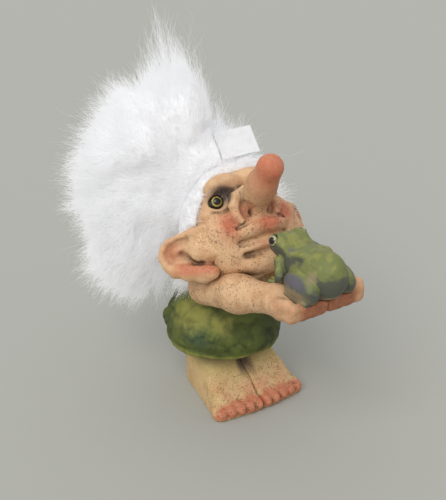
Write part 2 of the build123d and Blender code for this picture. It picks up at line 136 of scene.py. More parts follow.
class FurSettings(bpy.types.PropertyGroup):
    """The wig's fur."""
    colour: colour("Fur", "White of the fur", 0.98, 0.98, 0.99)
    width: length("Strand width", "Width of one strand at its root", 0.12)
    gores: count("Gores", "Pieces that the long pile is sewn from", 8)
    gore_strands: count("Strands in a gore", "Strands grown on each gore", 3800)
    pile_length: length("Pile length", "Length of the pile's strands", 11.0)
    guard_length: length("Guard hair length", "Length of the few long hairs that stand out of the pile", 17.0)
    crest_length: length("Crest length", "Length of the strands that stand up at the top", 34.0)
    fringe_length: length("Fringe length", "Length of the hairs along the hairline", 8.0)
    clump: length("Clump", "How far locks lean apart at their tips", 3.8)
    frizz: length("Frizz", "How far single strands wander", 4.2)


class StageSettings(bpy.types.PropertyGroup):
    """The floor, the lamps and the camera."""
    sky: length("Sky", "Strength of the even light from all round", 0.77)
    key: length("Key lamp", "Strength of the soft lamp at the upper left", 1.55)
    fill: length("Fill lamp", "Strength of the faint lamp behind", 0.15)
    floor: colour("Floor", "Pale grey of the floor", 0.40, 0.40, 0.362)
    azimuth: angle("Azimuth", "Camera's turn about the figure", -33)
    elevation: angle("Elevation", "Camera's height above the floor", 27)
    distance: length("Distance", "From the camera to the figure's middle", 450.0)
    target_height: length("Target height", "Height that the camera looks at", 68.4)
    lens: length("Lens", "Focal length", 70.06)


SETTINGS = {"troll_casting": CastingSettings, "troll_paint": PaintSettings, "troll_fur": FurSettings,
            "troll_stage": StageSettings}


def setting(group):
    """One group of the scene's settings."""
    return getattr(bpy.context.scene, group)


def corners_of(node):
    """The lowest and the highest corner of a CAD node's box, in millimetres."""
    return [np.array(corner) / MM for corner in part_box(node)]


# Rounded forms, as distances from points to surfaces

LATTICE = 32
FINE_LUMP_SHARE = 0.5


def egg(points, centre, radii):
    """Distance to an egg whose axes lie along the coordinates."""
    offset = points - np.asarray(centre, float) + 1e-7
    radii = np.asarray(radii, float)
    near = np.linalg.norm(offset / radii, axis=-1)
    steepness = np.linalg.norm(offset / radii ** 2, axis=-1)
    return near * (near - 1) / steepness


def rod(points, start, end, start_radius, end_radius):
    """Distance to a round rod that tapers from its start to its end."""
    start = np.asarray(start, float)
    run = np.asarray(end, float) - start
    along = np.clip(((points - start) @ run) / (run @ run), 0, 1)
    nearest = np.linalg.norm(points - start - along[..., None] * run, axis=-1)
    return nearest - (start_radius + along * (end_radius - start_radius))


def melt(first, second, blend):
    """Two forms as one, with their meeting filled in."""
    overlap = np.clip(1 - np.abs(first - second) / blend, 0, 1)
    return np.minimum(first, second) - overlap ** 2 * blend / 4


def meet(first, second, blend):
    """What two forms have in common, with its edge rounded."""
    return -melt(-first, -second, blend)


def scoop(form, tool, blend):
    """A form with a tool cut out of it, and the cut's edge rounded."""
    return -melt(-form, tool, blend)


def chain(points, stations, blend):
    """Rods from station to station, melted together. A station is a place and a radius."""
    form = None
    for (start, start_radius), (end, end_radius) in zip(stations, stations[1:]):
        link = rod(points, start, end, start_radius, end_radius)
        form = link if form is None else melt(form, link, blend)
    return form


def score(points, route, depth, width):
    """A groove drawn along a route, to add to a distance."""
    reach = np.min([rod(points, start, end, 0, 0) for start, end in zip(route, route[1:])], axis=0)
    return depth * np.exp(-(reach / width) ** 2)


def grain(points, size, seed):
    """Smooth noise from -1 to 1, in lumps of about the size given."""
    lattice = np.random.default_rng(seed).random((LATTICE,) * 3) * 2 - 1
    place = points / size + 0.37 * seed
    cell = np.floor(place).astype(int)
    part = place - cell
    part = part * part * (3 - 2 * part)
    total = 0
    for corner in product((0, 1), repeat=3):
        index = (cell + corner) % LATTICE
        weight = np.prod(np.where(corner, part, 1 - part), axis=-1)
        total = total + weight * lattice[index[..., 0], index[..., 1], index[..., 2]]
    return total


def rise(value, low, high):
    """0 below low, 1 above high and a smooth climb between. It falls where low is above high."""
    part = np.clip((value - low) / (high - low), 0, 1)
    return part * part * (3 - 2 * part)


def plane(points, place, facing):
    """Height of points over a plane through a place."""
    return (points - np.asarray(place, float)) @ np.asarray(facing, float)


def patch(points, centre, radii):
    """A soft spot: 1 at its centre, fading out over its radii."""
    return np.exp(-np.sum(((points - np.asarray(centre)) / np.asarray(radii)) ** 2, axis=-1))


def shaped(form, points, masses):
    """A form with named eggs melted onto it or scooped out of it, one after the other."""
    for work, centre, radii, blend in masses.values():
        form = work(form, egg(points, centre, radii), blend)
    return form


def scored(form, points, grooves):
    """A form with named grooves: the route, depth and width of each."""
    for route, depth, width in grooves.values():
        form = form + score(points, route, depth, width)
    return form


def spots(points, places, join=np.max):
    """Named soft spots, each with a centre, radii and strength: the strongest at each point, or their sum."""
    hollow_wash_and_shade = [patch(points, centre, radii) * strength for centre, radii, strength in places.values()]
    return join(hollow_wash_and_shade, axis=0)


def clay(points, size, seed, share=1.2):
    """Lumps left in the clay: broad ones and fine ones, of the two sizes given."""
    lumps = grain(points, size[0], seed) * share + grain(points, size[1], seed + 1) * FINE_LUMP_SHARE
    return setting("troll_casting").lump * lumps


# From a distance field to a mesh

BLOCK = 4
BLOCK_SLACK = 1.25
SETTLE_ROUNDS = 2
LEAST_SLOPE = 0.3


def measure(field, low, blocks, step):
    """The field on a grid, worked out in full only in the blocks near the surface."""
    reach = step * BLOCK * sqrt(3) / 2 * BLOCK_SLACK + step
    corners = np.indices(blocks).reshape(3, -1).T * BLOCK
    rough = field(low + step * (corners + (BLOCK - 1) / 2))
    values = rough.reshape(blocks)
    for axis in range(3):
        values = np.repeat(values, BLOCK, axis)
    near = corners[np.abs(rough) < reach]
    index = near[:, None] + np.indices((BLOCK,) * 3).reshape(3, -1).T
    values[tuple(np.moveaxis(index, -1, 0))] = field(low + step * index)
    return values


def slope(field, points, reach):
    """The field's gradient at points."""
    steps = np.eye(3) * reach
    return np.stack([field(points + way) - field(points - way) for way in steps], -1) / (2 * reach)


def unit(vectors):
    """Vectors made one long."""
    return vectors / np.maximum(np.linalg.norm(vectors, axis=-1, keepdims=True), 1e-9)


def cast(field, low, high, step):
    """Points, quads and outward directions of the surface where the field is zero."""
    low = np.asarray(low, float)
    blocks = tuple(np.ceil((np.asarray(high) - low) / (step * BLOCK)).astype(int) + 1)
    values = measure(field, low, blocks, step)
    inside = values < 0
    ends = [slice(0, -1), slice(1, None)]
    corners = [inside[tuple(ends[side] for side in corner)] for corner in product((0, 1), repeat=3)]
    mixed = np.any(corners, axis=0) & ~np.all(corners, axis=0)
    cells = np.argwhere(mixed)
    number = np.full(mixed.shape, -1)
    number[mixed] = np.arange(len(cells))
    total = np.zeros(cells.shape)
    hits = np.zeros(len(cells))
    for axis in range(3):
        way = np.eye(3, dtype=int)[axis]
        for offset in product((0, 1), repeat=3):
            if offset[axis]:
                continue
            start = values[tuple((cells + offset).T)]
            end = values[tuple((cells + offset + way).T)]
            hit = (start < 0) != (end < 0)
            crossing = start[hit] / (start[hit] - end[hit])
            total[hit] += offset + crossing[:, None] * way
            hits[hit] += 1
    points = low + step * (cells + total / hits[:, None])
    quads = []
    for axis in range(3):
        way, side, other = (np.eye(3, dtype=int)[(axis + turn) % 3] for turn in range(3))
        last = [size - 1 if place == axis else size for place, size in enumerate(inside.shape)]
        here = inside[tuple(slice(0, size) for size in last)]
        there = inside[tuple(slice(way[place], None) for place in range(3))]
        edge = np.argwhere(here != there)
        ring = [number[tuple((edge - back).T)] for back in (0 * way, side, side + other, other)]
        ring = np.stack(ring, -1)
        leaving = here[tuple(edge.T)]
        ring[~leaving] = ring[~leaving][:, ::-1]
        quads.append(ring)
    points, quads = settle(field, points, step), np.concatenate(quads)
    return points, quads, unit(slope(field, points, step / 2))


def settle(field, points, step):
    """Points moved onto the surface along the field's slope."""
    for _ in range(SETTLE_ROUNDS):
        way = slope(field, points, step / 3)
        steepness = np.maximum(np.sum(way ** 2, -1, keepdims=True), LEAST_SLOPE)
        shift = -field(points)[:, None] * way / steepness
        points = points + np.clip(shift, -step, step)
    return points


def hollows(field, points, outward, reach):
    """How deep each point lies in a crease: 0 in the open, towards 1 in a narrow one."""
    total = 0
    for part in (0.25, 0.5, 1):
        out = reach * part
        total = total + np.clip(1 - field(points + outward * out) / out, 0, 1)
    return total / 3


# Meshes, as pieces of the scene

def build_mesh(name, points, faces, smooth=True):
    """A mesh object with its place in its points. The points are in millimetres."""
    mesh = bpy.data.meshes.new(name)
    faces = faces.tolist() if isinstance(faces, np.ndarray) else faces
    mesh.from_pydata((np.asarray(points) * MM).tolist(), [], faces)
    mesh.update()
    return link_mesh(name, mesh, smooth)


def link_mesh(name, mesh, smooth=True):
    """An object of a mesh, in the scene."""
    mesh.polygons.foreach_set("use_smooth", [smooth] * len(mesh.polygons))
    made = bpy.data.objects.new(name, mesh)
    bpy.context.scene.collection.objects.link(made)
    return made


def add_mask(made, name, values):
    """A number for each point, which a material reads as an attribute."""
    layer = made.data.attributes.new(name, "FLOAT", "POINT")
    layer.data.foreach_set("value", np.asarray(values, np.float32))


def add_way(made, name, vectors):
    """A vector for each point, which the fur's tree reads as an attribute."""
    layer = made.data.attributes.new(name, "FLOAT_VECTOR", "POINT")
    layer.data.foreach_set("vector", np.asarray(vectors, np.float32).ravel())


def declare(made, material, node):
    """Give a piece its material, hang it under the root body, and hide the CAD node that it stands in for."""
    made.data.materials.clear()
    made.data.materials.append(material)
    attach(made, "root")
    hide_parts(node)


def casting(node, form, paint, finish="painted_skin", grid="fine_step", below=2, above=2):
    """Cast and paint a form in place of a CAD node, a little past its box. A left node has a right twin."""
    low, high = corners_of(node)
    step = getattr(setting("troll_casting"), grid)
    points, quads, outward = cast(form, low - below, high + above, step)
    masks = paint(points, outward)
    # The crease mask darkens each casting where its form is most enclosed: painted shade, which on the skin
    # is also a brown wash.
    hollow_wash_and_shade = hollows(form, points, outward, setting("troll_casting").crease_reach)
    masks["crease"] = np.maximum(hollow_wash_and_shade, masks.get("crease", 0))
    sides = {node: (points, quads)}
    if node.startswith("left_"):
        sides[node.replace("left_", "right_")] = (points * (-1, 1, 1), quads[:, ::-1])
    for side, (side_points, side_quads) in sides.items():
        made = build_mesh(side.replace("_body", "") + "_casting", side_points, side_quads)
        for mask, values in masks.items():
            add_mask(made, mask, np.clip(values, 0, 1))
        declare(made, bpy.data.materials[finish], side)
    return {"FINISHED"}


# Shader and geometry trees, written as expressions

class Tap:
    """One output in a node tree, with arithmetic that adds Math nodes."""

    def __init__(self, board, socket):
        self.board = board
        self.socket = socket

    def math(self, operation, *values):
        """A Math node on this output and the values given."""
        return self.board.add("ShaderNodeMath", {"operation": operation}, dict(enumerate((self,) + values)))

    def __add__(self, other):
        return self.math("ADD", other)

    def __sub__(self, other):
        return self.math("SUBTRACT", other)

    def __rsub__(self, other):
        return self.board.add("ShaderNodeMath", {"operation": "SUBTRACT"}, {0: other, 1: self})

    def __mul__(self, other):
        return self.math("MULTIPLY", other)

    def __pow__(self, other):
        return self.math("POWER", other)

    def clip(self):
        """This output held between 0 and 1."""
        made = self.math("ADD", 0.0)
        made.socket.node.use_clamp = True
        return made

    def rise(self, low, high):
        """0 below low, 1 above high, with a smooth climb between."""
        return self.board.add("ShaderNodeMapRange", {"interpolation_type": "SMOOTHSTEP"},
                              {"Value": self, "From Min": low, "From Max": high})


class Board:
    """Adds nodes to a tree: a type, its settings, then the values or links of its inputs."""

    def __init__(self, tree):
        self.tree = tree

    def add(self, kind, settings=None, inputs=None, out=0):
        """One node, of which the output asked for comes back."""
        node = self.tree.nodes.new(kind)
        for name, value in (settings or {}).items():
            setattr(node, name, value)
        for key, value in (inputs or {}).items():
            if isinstance(value, Tap):
                self.tree.links.new(value.socket, node.inputs[key])
            elif value is not None:
                node.inputs[key].default_value = value
        return Tap(self, node.outputs[out])

    def mask(self, name):
        """A piece's painted mask."""
        return self.add("ShaderNodeAttribute", {"attribute_name": name}, out="Fac")

    def noise(self, size, detail=3.0, roughness=0.5):
        """Noise whose lumps are about the size given, in millimetres."""
        return self.add("ShaderNodeTexNoise", {},
                        {"Vector": self.add("ShaderNodeTexCoord", out="Object"), "Scale": 1 / (size * MM),
                         "Detail": detail, "Roughness": roughness})

    def cells(self, size, randomness=1.0):
        """Distance to the middle of cells of about the size given, as a share of that size."""
        return self.add("ShaderNodeTexVoronoi", {},
                        {"Vector": self.add("ShaderNodeTexCoord", out="Object"), "Scale": 1 / (size * MM),
                         "Randomness": randomness}, out="Distance")

    def vector(self, operation, *values):
        """A Vector Math node. A scale is the last value of SCALE."""
        keys = (0, "Scale") if operation == "SCALE" else range(len(values))
        return self.add("ShaderNodeVectorMath", {"operation": operation}, dict(zip(keys, values)))

    def mix(self, below, above, amount):
        """One colour laid over another."""
        below, above = (tuple(tint) + (1.0,) if isinstance(tint, tuple) else tint for tint in (below, above))
        return self.add("ShaderNodeMix", {"data_type": "RGBA", "clamp_factor": True},
                        {"Factor": amount, 6: below, 7: above}, out=2)

    def coat(self, below, paint, amount):
        """One of the paints laid over a colour."""
        return self.mix(below, tone("troll_paint", paint), amount)

    def frayed(self, name, cloud, depth, low, high):
        """A piece's mask whose edge is frayed by noise."""
        return (self.mask(name) + cloud * depth - depth / 2).rise(low, high)

    def worn(self, name, cloud, share, rest):
        """A piece's mask worn in patches: a share goes with the noise, and the rest stays."""
        return self.mask(name) * (cloud * share + rest)

    def bump(self, height, depth):
        """A bump of the depth given, in millimetres."""
        return self.add("ShaderNodeBump", {}, {"Height": height, "Distance": depth * MM, "Strength": 1.0})


def new_material(name):
    """A material with only its shader and output, and the board to add to."""
    material = bpy.data.materials.new(name)
    material.use_nodes = True
    tree = material.node_tree
    tree.nodes.clear()
    output = tree.nodes.new("ShaderNodeOutputMaterial")
    shader = tree.nodes.new("ShaderNodeBsdfPrincipled")
    tree.links.new(shader.outputs[0], output.inputs["Surface"])
    return material, Board(tree), shader


def finish_shader(board, shader, **inputs):
    """Set or link the shader's sockets. An underscore in a name stands for a space."""
    for name, value in inputs.items():
        socket = shader.inputs[name.replace("_", " ")]
        if isinstance(value, Tap):
            board.tree.links.new(value.socket, socket)
        else:
            socket.default_value = value


def tone(group, name):
    """A colour setting as a plain tuple."""
    return tuple(getattr(setting(group), name))


# Finishes

TUNIC_DENT_BLUE = (0.030, 0.075, 0.050)
# Painted shade of the tunic: near black green in its creases and folds, and dark green on the side under the
# arm.
TUNIC_CREASE_SHADE = (0.018, 0.024, 0.010)
TUNIC_PAINTED_SHADE = (0.020, 0.026, 0.010)
FROG_HAZE = (0.115, 0.105, 0.125)
FROG_CREASE_SHADE = (0.015, 0.015, 0.012)
PUPIL_BLACK = (0.004, 0.004, 0.004)
RIM_BLACK = (0.006, 0.006, 0.006)
CARD_WHITE, CARD_SHADE = (0.82, 0.82, 0.82), (0.76, 0.76, 0.76)
CLOTH_PALE, CLOTH_SHADE = (0.75, 0.74, 0.72), (0.5, 0.49, 0.47)


def skin_material():
    """Tan paint with a brown wash in pores and cracks, a wash with painted shade in creases, and blush
    brushed over.
    """
    material, board, shader = new_material("painted_skin")
    drift = board.noise(7.0)
    base = board.coat(tone("troll_paint", "skin"), "skin_deep", drift.rise(0.42, 0.70) * 0.7)
    base = board.coat(base, "hem_green", board.mask("green") * 0.85)
    patchy = board.noise(1.3)
    blush = board.worn("blush", patchy, 0.8, 0.62).clip()
    base = board.coat(base, "blush", blush * 0.92)
    base = board.coat(base, "stain", board.worn("stain", patchy, 0.8, 0.6).clip() * 0.85)
    dots = board.noise(0.72, 2.0, roughness=0.6)
    dabs = board.noise(4.0, 2.0).rise(0.32, 0.58)
    pores = dots.rise(0.56, 0.63) * (dabs * 0.75 + 0.25) * board.mask("pores")
    base = board.coat(base, "wash_and_shade", pores * 0.62)
    line = (board.noise(3.2, roughness=0.6) - 0.5).math("ABSOLUTE").rise(0.016, 0.004)
    cracks = line * board.noise(2.6, 2.0).rise(0.50, 0.60) * board.mask("pores")
    base = board.coat(base, "wash_and_shade", cracks * 0.7)
    # A brown wash with painted shade, darkest in the deepest creases and under the chin.
    crease = board.worn("crease", board.noise(0.9), 0.9, 0.55).rise(0.16, 0.80)
    base = board.coat(base, "wash_and_shade", crease * 0.85)
    # Blue black paint round the eyes; on the legs the same mask is painted shade between them and under the
    # hem.
    shadow = board.worn("shadow", board.noise(1.2), 0.9, 0.5).clip()
    base = board.coat(base, "shadow", shadow * 0.9)
    height = dots * -0.5 + board.noise(1.6) * 0.9 - cracks * 0.3
    finish_shader(board, shader, Base_Color=base, Roughness=0.66 - blush * 0.10,
                  Normal=board.bump(height, 0.24), Specular_IOR_Level=0.3)
    return material


def tunic_material():
    """Green paint with painted shade in the folds and under the arm, and ochre brushed on in patches and
    along the hem.
    """
    material, board, shader = new_material("painted_tunic")
    drift = board.noise(9.0, roughness=0.55)
    base = board.coat(tone("troll_paint", "tunic"), "tunic_deep", drift.rise(0.46, 0.66) * 0.7)
    base = board.mix(base, TUNIC_DENT_BLUE, board.mask("dent") * 0.7)
    # Ochre paint, partly painted highlight on the raised facets and on the side towards the key lamp.
    brushed = board.frayed("ochre", board.noise(3.6, 4.0, roughness=0.6), 1.4, 0.2, 0.95)
    base = board.coat(base, "ochre", brushed * 0.62)
    # Painted shade in the creases and in the valleys between the facets.
    crease = board.worn("crease", board.noise(2.2), 1.0, 0.5).rise(0.1, 0.7)
    base = board.mix(base, TUNIC_CREASE_SHADE, crease * 0.8)
    # Painted shade on the side under the arm.
    base = board.mix(base, TUNIC_PAINTED_SHADE, board.mask("dusk") * 0.45)
    height = board.noise(1.5, 4.0) * 0.8 + board.noise(0.5, 2.0) * 0.3
    finish_shader(board, shader, Base_Color=base, Roughness=0.7, Normal=board.bump(height, 0.24),
                  Specular_IOR_Level=0.3)
    return material


def frog_material():
    """Olive green back, grey green sides, beige below, dark spots, and painted shade between the limbs and in
    creases.
    """
    material, board, shader = new_material("painted_frog")
    drift = board.noise(4.5, 4.0, roughness=0.6)
    back = board.frayed("back", drift, 0.5, 0.05, 0.6)
    base = board.coat(tone("troll_paint", "frog_side"), "frog", back)
    brushed = (board.mask("back") * board.noise(3.4)).rise(0.44, 0.62)
    base = board.coat(base, "ochre", brushed * 0.4)
    base = board.mix(base, FROG_HAZE, board.frayed("haze", board.noise(2.6), 0.6, 0.25, 0.85) * 0.8)
    base = board.coat(base, "frog_belly", board.frayed("belly", board.noise(2.4), 0.5, 0.2, 0.8) * 0.9)
    # Dark blue grey: spots on the back and haunch, and painted shade between the limbs.
    base = board.coat(base, "frog_dark", board.frayed("spots", board.noise(2.4), 0.6, 0.25, 0.85) * 0.8)
    # Painted shade in the creases.
    crease = board.worn("crease", board.noise(1.2), 1.0, 0.5).rise(0.14, 0.75)
    base = board.mix(base, FROG_CREASE_SHADE, crease * 0.8)
    height = board.noise(0.9) + board.cells(1.1) * -0.4
    finish_shader(board, shader, Base_Color=base, Roughness=0.56, Normal=board.bump(height, 0.2),
                  Specular_IOR_Level=0.35)
    return material


def eye_material(name, iris, pupil, edge):
    """A glass eye: a black pupil, a thin mottled iris and a black rim under a clear coat."""
    material, board, shader = new_material(name)
    ring = board.mask("ring")
    streak = board.noise(0.35)
    lively = board.mix(iris, tuple(part * 0.25 for part in iris), streak.rise(0.44, 0.58))
    base = board.mix(lively, RIM_BLACK, ring.rise(edge, edge + 0.08))
    base = board.mix(PUPIL_BLACK, base, ring.rise(pupil, pupil + 0.06))
    finish_shader(board, shader, Base_Color=base, Roughness=0.3, Coat_Weight=0.5, Coat_Roughness=0.03,
                  Specular_IOR_Level=0.25)
    return material


def fur_material(name, shade_dim=1.0, glow=0.0):
    """White fur, a little uneven. The glow stands for light that passes on through fine hairs."""
    material, board, shader = new_material(name)
    tint = tone("troll_fur", "colour")
    # A factor below 1 makes a darker copy of the fur: painted shade for the core under the strands.
    base = board.mix(tuple(part * shade_dim for part in tint), tuple(part * 0.95 * shade_dim for part in tint),
                     board.noise(2.0).rise(0.4, 0.7))
    finish_shader(board, shader, Base_Color=base, Roughness=0.8, Specular_IOR_Level=0.15,
                  Emission_Color=(1.0, 1.0, 1.0, 1.0), Emission_Strength=glow)
    return material


def card_material():
    """White card with a faint tooth."""
    material, board, shader = new_material("white_card")
    base = board.mix(CARD_WHITE, CARD_SHADE, board.noise(3.0).rise(0.4, 0.7))
    tooth = board.noise(0.3, 2.0)
    finish_shader(board, shader, Base_Color=base, Roughness=0.55, Normal=board.bump(tooth, 0.02))
    return material


def cloth_material():
    """The wig's knitted backing."""
    material, board, shader = new_material("backing_cloth")
    weave = board.cells(0.6, randomness=0.3)
    base = board.mix(CLOTH_PALE, CLOTH_SHADE, weave.rise(0.3, 0.6))
    finish_shader(board, shader, Base_Color=base, Roughness=0.9, Normal=board.bump(weave, 0.15))
    return material


# The head, in face coordinates: across, up the face and out of it, from the skull's middle

TILT = radians(36)
SKULL = np.array((0, -9.5, 84.5))
FACE_UP = np.array((0, sin(TILT), cos(TILT)))
FACE_OUT = np.array((0, -cos(TILT), sin(TILT)))
FACE = np.array([(1, 0, 0), FACE_UP, FACE_OUT])
EYE = (13.3, 10.4, 14.3)
NOSE = (((0, 4.3, 20.4), 6.5), ((0, 9.7, 31.6), 5.5), ((0, 14.8, 43.0), 5.7))
SKULL_RADII = np.array((22.6, 25.6, 22.6))


def to_face(points):
    """Face coordinates of points."""
    return (points - SKULL) @ FACE.T


def folded(points):
    """Points with both sides laid over each other, for forms that are the same left and right."""
    return np.concatenate([np.abs(points[..., :1]), points[..., 1:]], axis=-1)


def skull(points, out):
    """Distance to an egg that lies about the bare skull, further out by the amount given."""
    return egg(to_face(points), (0, 0, 0), SKULL_RADII + out)


NOSE_WING = (((3.2, 11.5, 23.0), 2.0), ((7.0, 9.8, 22.6), 2.0), ((9.7, 5.8, 21.9), 2.1),
             ((10.3, 1.4, 21.8), 2.1), ((8.8, -1.3, 22.4), 1.8))
CHIN_FOLD = ((0, -17.0, 22), (6, -15.9, 20.4), (9.5, -15.0, 18.2))
NOSE_CREASE = ((0, -1.2, 27), (4.2, -1.6, 25.4), (8.5, -3.0, 23.6), (11.5, -4.0, 21.6), (13.6, -7.5, 18.5))
BROW, BROW_RADII = (7.2, 15.8, 14.6), np.array((9.6, 6.0, 6.8))
CHIN, CHIN_RADII = (0, -20.0, 16.6), np.array((12, 5.4, 6.2))
HEAD_MASSES = {"brow": (melt, BROW, BROW_RADII, 4),
               "cheek": (melt, (14.6, -2.5, 14.4), (7.2, 7.2, 6.6), 5),
               "jaw": (melt, (11.5, -12.0, 8.5), (9.4, 9.6, 9.6), 7),
               "chin": (melt, CHIN, CHIN_RADII, 4),
               "eye hollow": (scoop, (13.4, 10.3, 19.6), (6.0, 4.6, 4.2), 3),
               "upper lip": (melt, (3.0, -5.6, 19.8), (10.4, 4.4, 6.2), 2.5),
               "lower lip": (melt, (0, -13.0, 18.2), (11.2, 3.0, 5.4), 2.2),
               "nose root": (melt, (0, 3.4, 18.6), (7.2, 6.2, 6.0), 3)}
NOSTRIL = {"cup": (scoop, (6.4, 2.4, 25.4), (2.2, 3.8, 3.2), 1.4),
           "hole": (scoop, (4.2, 1.0, 25.6), (1.0, 1.8, 4.0), 0.8)}
HEAD_GROOVES = {"nose crease": (NOSE_CREASE, 1.1, 0.9),
                "mouth": (((0, -10.9, 24), (6, -10.5, 22.5), (11, -10.1, 19.4)), 1.1, 1.5),
                "chin fold": (CHIN_FOLD, 0.9, 1.9),
                "eye bag": (((9.5, 5.4, 18.8), (14, 4.9, 17.2), (18.5, 6.8, 12.5)), 0.45, 0.8),
                "nose root": (((0, 11.5, 25), (3.2, 12.4, 21.5)), 0.5, 0.8)}
EYE_SOCKET = 3.25
LID_RADIUS, LID_WIDTH, LID_HEIGHT = 4.0, 0.8, 0.5
NECK_FOOT, NECK_TOP = (0, 0, 45.0), (0, 1, 76)
NECK_RADII = (6.9, 8.0)


def head_form(points):
    """The skull with its brows, eye hollows, cheeks, lips, chin, nose and neck."""
    at = folded(to_face(points))
    form = shaped(egg(at, (0, 0, 0), SKULL_RADII), at, HEAD_MASSES)
    form = melt(form, chain(at, NOSE, 6), 2.4)
    form = melt(form, chain(at, NOSE_WING, 1.5), 1.6)
    form = shaped(form, at, NOSTRIL)
    lid = np.abs(np.hypot(at[..., 0] - EYE[0], at[..., 1] - EYE[1]) - LID_RADIUS)
    form = form - LID_HEIGHT * np.exp(-(lid / LID_WIDTH) ** 2) * rise(at[..., 2], 8, 12)
    form = scoop(form, egg(at, EYE, (EYE_SOCKET,) * 3), 0.5)
    form = scored(form, at, HEAD_GROOVES)
    form = melt(form, rod(points, NECK_FOOT, NECK_TOP, *NECK_RADII), 2)
    form = meet(form, NECK_FOOT[2] - points[..., 2], 0.5)
    return form + clay(points, (4.5, 1.8), 3, 1.1)


FACE_BLUSH = {"lips": ((2.5, -5.0, 25), (7.5, 3.8, 5), 1.2),
              "left cheek": ((12.5, -2.0, 21), (6.5, 5.0, 6), 1)}
FOLDED_BLUSH = {"lower lip": ((0, -12.6, 22), (7, 1.8, 4), 0.5),
                "nostril": ((6.4, 2.0, 24), (3.0, 4.0, 4), 0.9)}
HEAD_STAIN = {"nostril": ((5.4, 1.6, 24), (2.4, 3.4, 3.4), 0.8),
              "jaw": ((19.5, -14.0, 3), (3.5, 8, 8), 0.4)}


def paint_head(points, outward):
    """Masks of the head: blush on cheeks, nose and lips, shadow round the eyes, pores low on the face,
    painted shade under the chin.
    """
    side = to_face(points)
    at = folded(side)
    cheek = patch(at, (14.0, -1.4, 19.5), (4.8, 5.6, 6.0)) * 1.25 * rise(at[..., 0], 9.6, 11.2)
    tip = rise(at[..., 2], 27, 46) * 0.9
    blush = np.max([cheek, spots(side, FACE_BLUSH), tip, spots(at, FOLDED_BLUSH)], axis=0)
    nose = rise(at[..., 2], 25, 29) * rise(at[..., 2], 44, 34) * 0.35
    # Painted shade under the chin and along the chin's fold.
    shade_under_chin = patch(at, (6, -22.5, 12), (12, 3.6, 8)) * 0.9 + score(at, CHIN_FOLD, 0.4, 1.4)
    shadow = patch(at, (EYE[0] - 1.8, EYE[1] + 2.2, 17), (4.8, 4.0, 6.0)) * 1.5
    pores = (0.4 + 0.6 * rise(at[..., 1], 10, -2)) * (1 - 0.8 * rise(at[..., 2], 28, 36))
    stain = np.maximum(spots(at, HEAD_STAIN), nose)
    return {"blush": blush, "shadow": shadow, "pores": pores, "stain": stain, "crease": shade_under_chin}


class TROLL_OT_head(bpy.types.Operator):
    """Cast and paint the head"""
    bl_idname = "troll.head"
    bl_label = "Head"

    def execute(self, context):
        return casting("head", head_form, paint_head)


# The ears, in ear coordinates: out to the tip, up the rim and out of the bowl

EAR_ROOT = np.array((22.0, -22.0, 83.0))
EAR_OUT = unit(np.array((0.67, 0.72, -0.19)))
EAR_UP = np.array((0, 0.45, 0.89))
EAR_RISE = unit(EAR_UP - EAR_OUT * (EAR_UP @ EAR_OUT))
EAR_FACE = np.cross(EAR_OUT, EAR_RISE)
EAR = np.array([EAR_OUT, EAR_RISE, EAR_FACE])
EAR_RIM = (((0.5, 10.6, -0.2), 1.6), ((6.0, 9.0, 0.3), 1.3), ((9.4, 7.7, 0.4), 1.2),
           ((12.8, 6.9, 0.6), 1.2), ((16.9, 5.0, 0.6), 1.35), ((19.9, 2.0, 0.5), 1.5),
           ((20.6, -1.4, 0.4), 1.8), ((18.8, -5.0, 0.6), 2.1), ((15.2, -7.4, 0.8), 2.8),
           ((9.2, -8.2, 1.1), 3.5), ((2.5, -8.8, 1.4), 3.8), ((-1.5, -8.6, 1.5), 3.2))
EAR_LEAF = ((8.6, -1.0, -0.9), (12.8, 9.6, 2.4))
EAR_BASE = ((2.2, 3.0, -0.6), (7.6, 7.6, 2.9))
EAR_KNOB = ((12.4, 1.2, 0.8), (2.0, 2.0, 1.7))
EAR_RIDGE = (((13.0, 4.0, 0.6), 0.9), ((14.9, 0.6, 0.6), 1.2))
EAR_GROOVE = ((8.5, 6.2, 2), (12.9, 5.4, 2), (16.8, 3.2, 2), (18.2, 0.4, 2), (16.8, -3.2, 2))
EAR_BOWL = ((11.2, -0.2, 2), (8.8, -1.8, 2), (6.0, -3.2, 2), (2.6, -4.2, 2))
EAR_ROOM = ((7.6, 0, 0), (14.5, 13.5, 5.0))
EAR_PEG_START, EAR_PEG_END = EAR_ROOT + EAR_OUT * 3, EAR_ROOT - EAR_OUT * 6


def ear_form(points):
    """A leaf with a thin rim above, a thick lobe below and a hollow by the lobe. The left ear's points."""
    at = (points - EAR_ROOT) @ EAR.T
    form = melt(egg(at, *EAR_LEAF), egg(at, *EAR_BASE), 3)
    form = melt(form, chain(at, EAR_RIM, 2.0), 1.6)
    form = melt(form, chain(at, EAR_RIDGE, 2), 1.4)
    form = melt(form, egg(at, *EAR_KNOB), 1.4)
    form = form + score(at, EAR_GROOVE, 1.0, 0.8)
    form = form + score(at, EAR_BOWL, 2.0, 1.3)
    form = melt(form, rod(points, EAR_PEG_START, EAR_PEG_END, 4.5, 2.0), 3)
    return form + clay(points, (3.5, 1.6), 5)


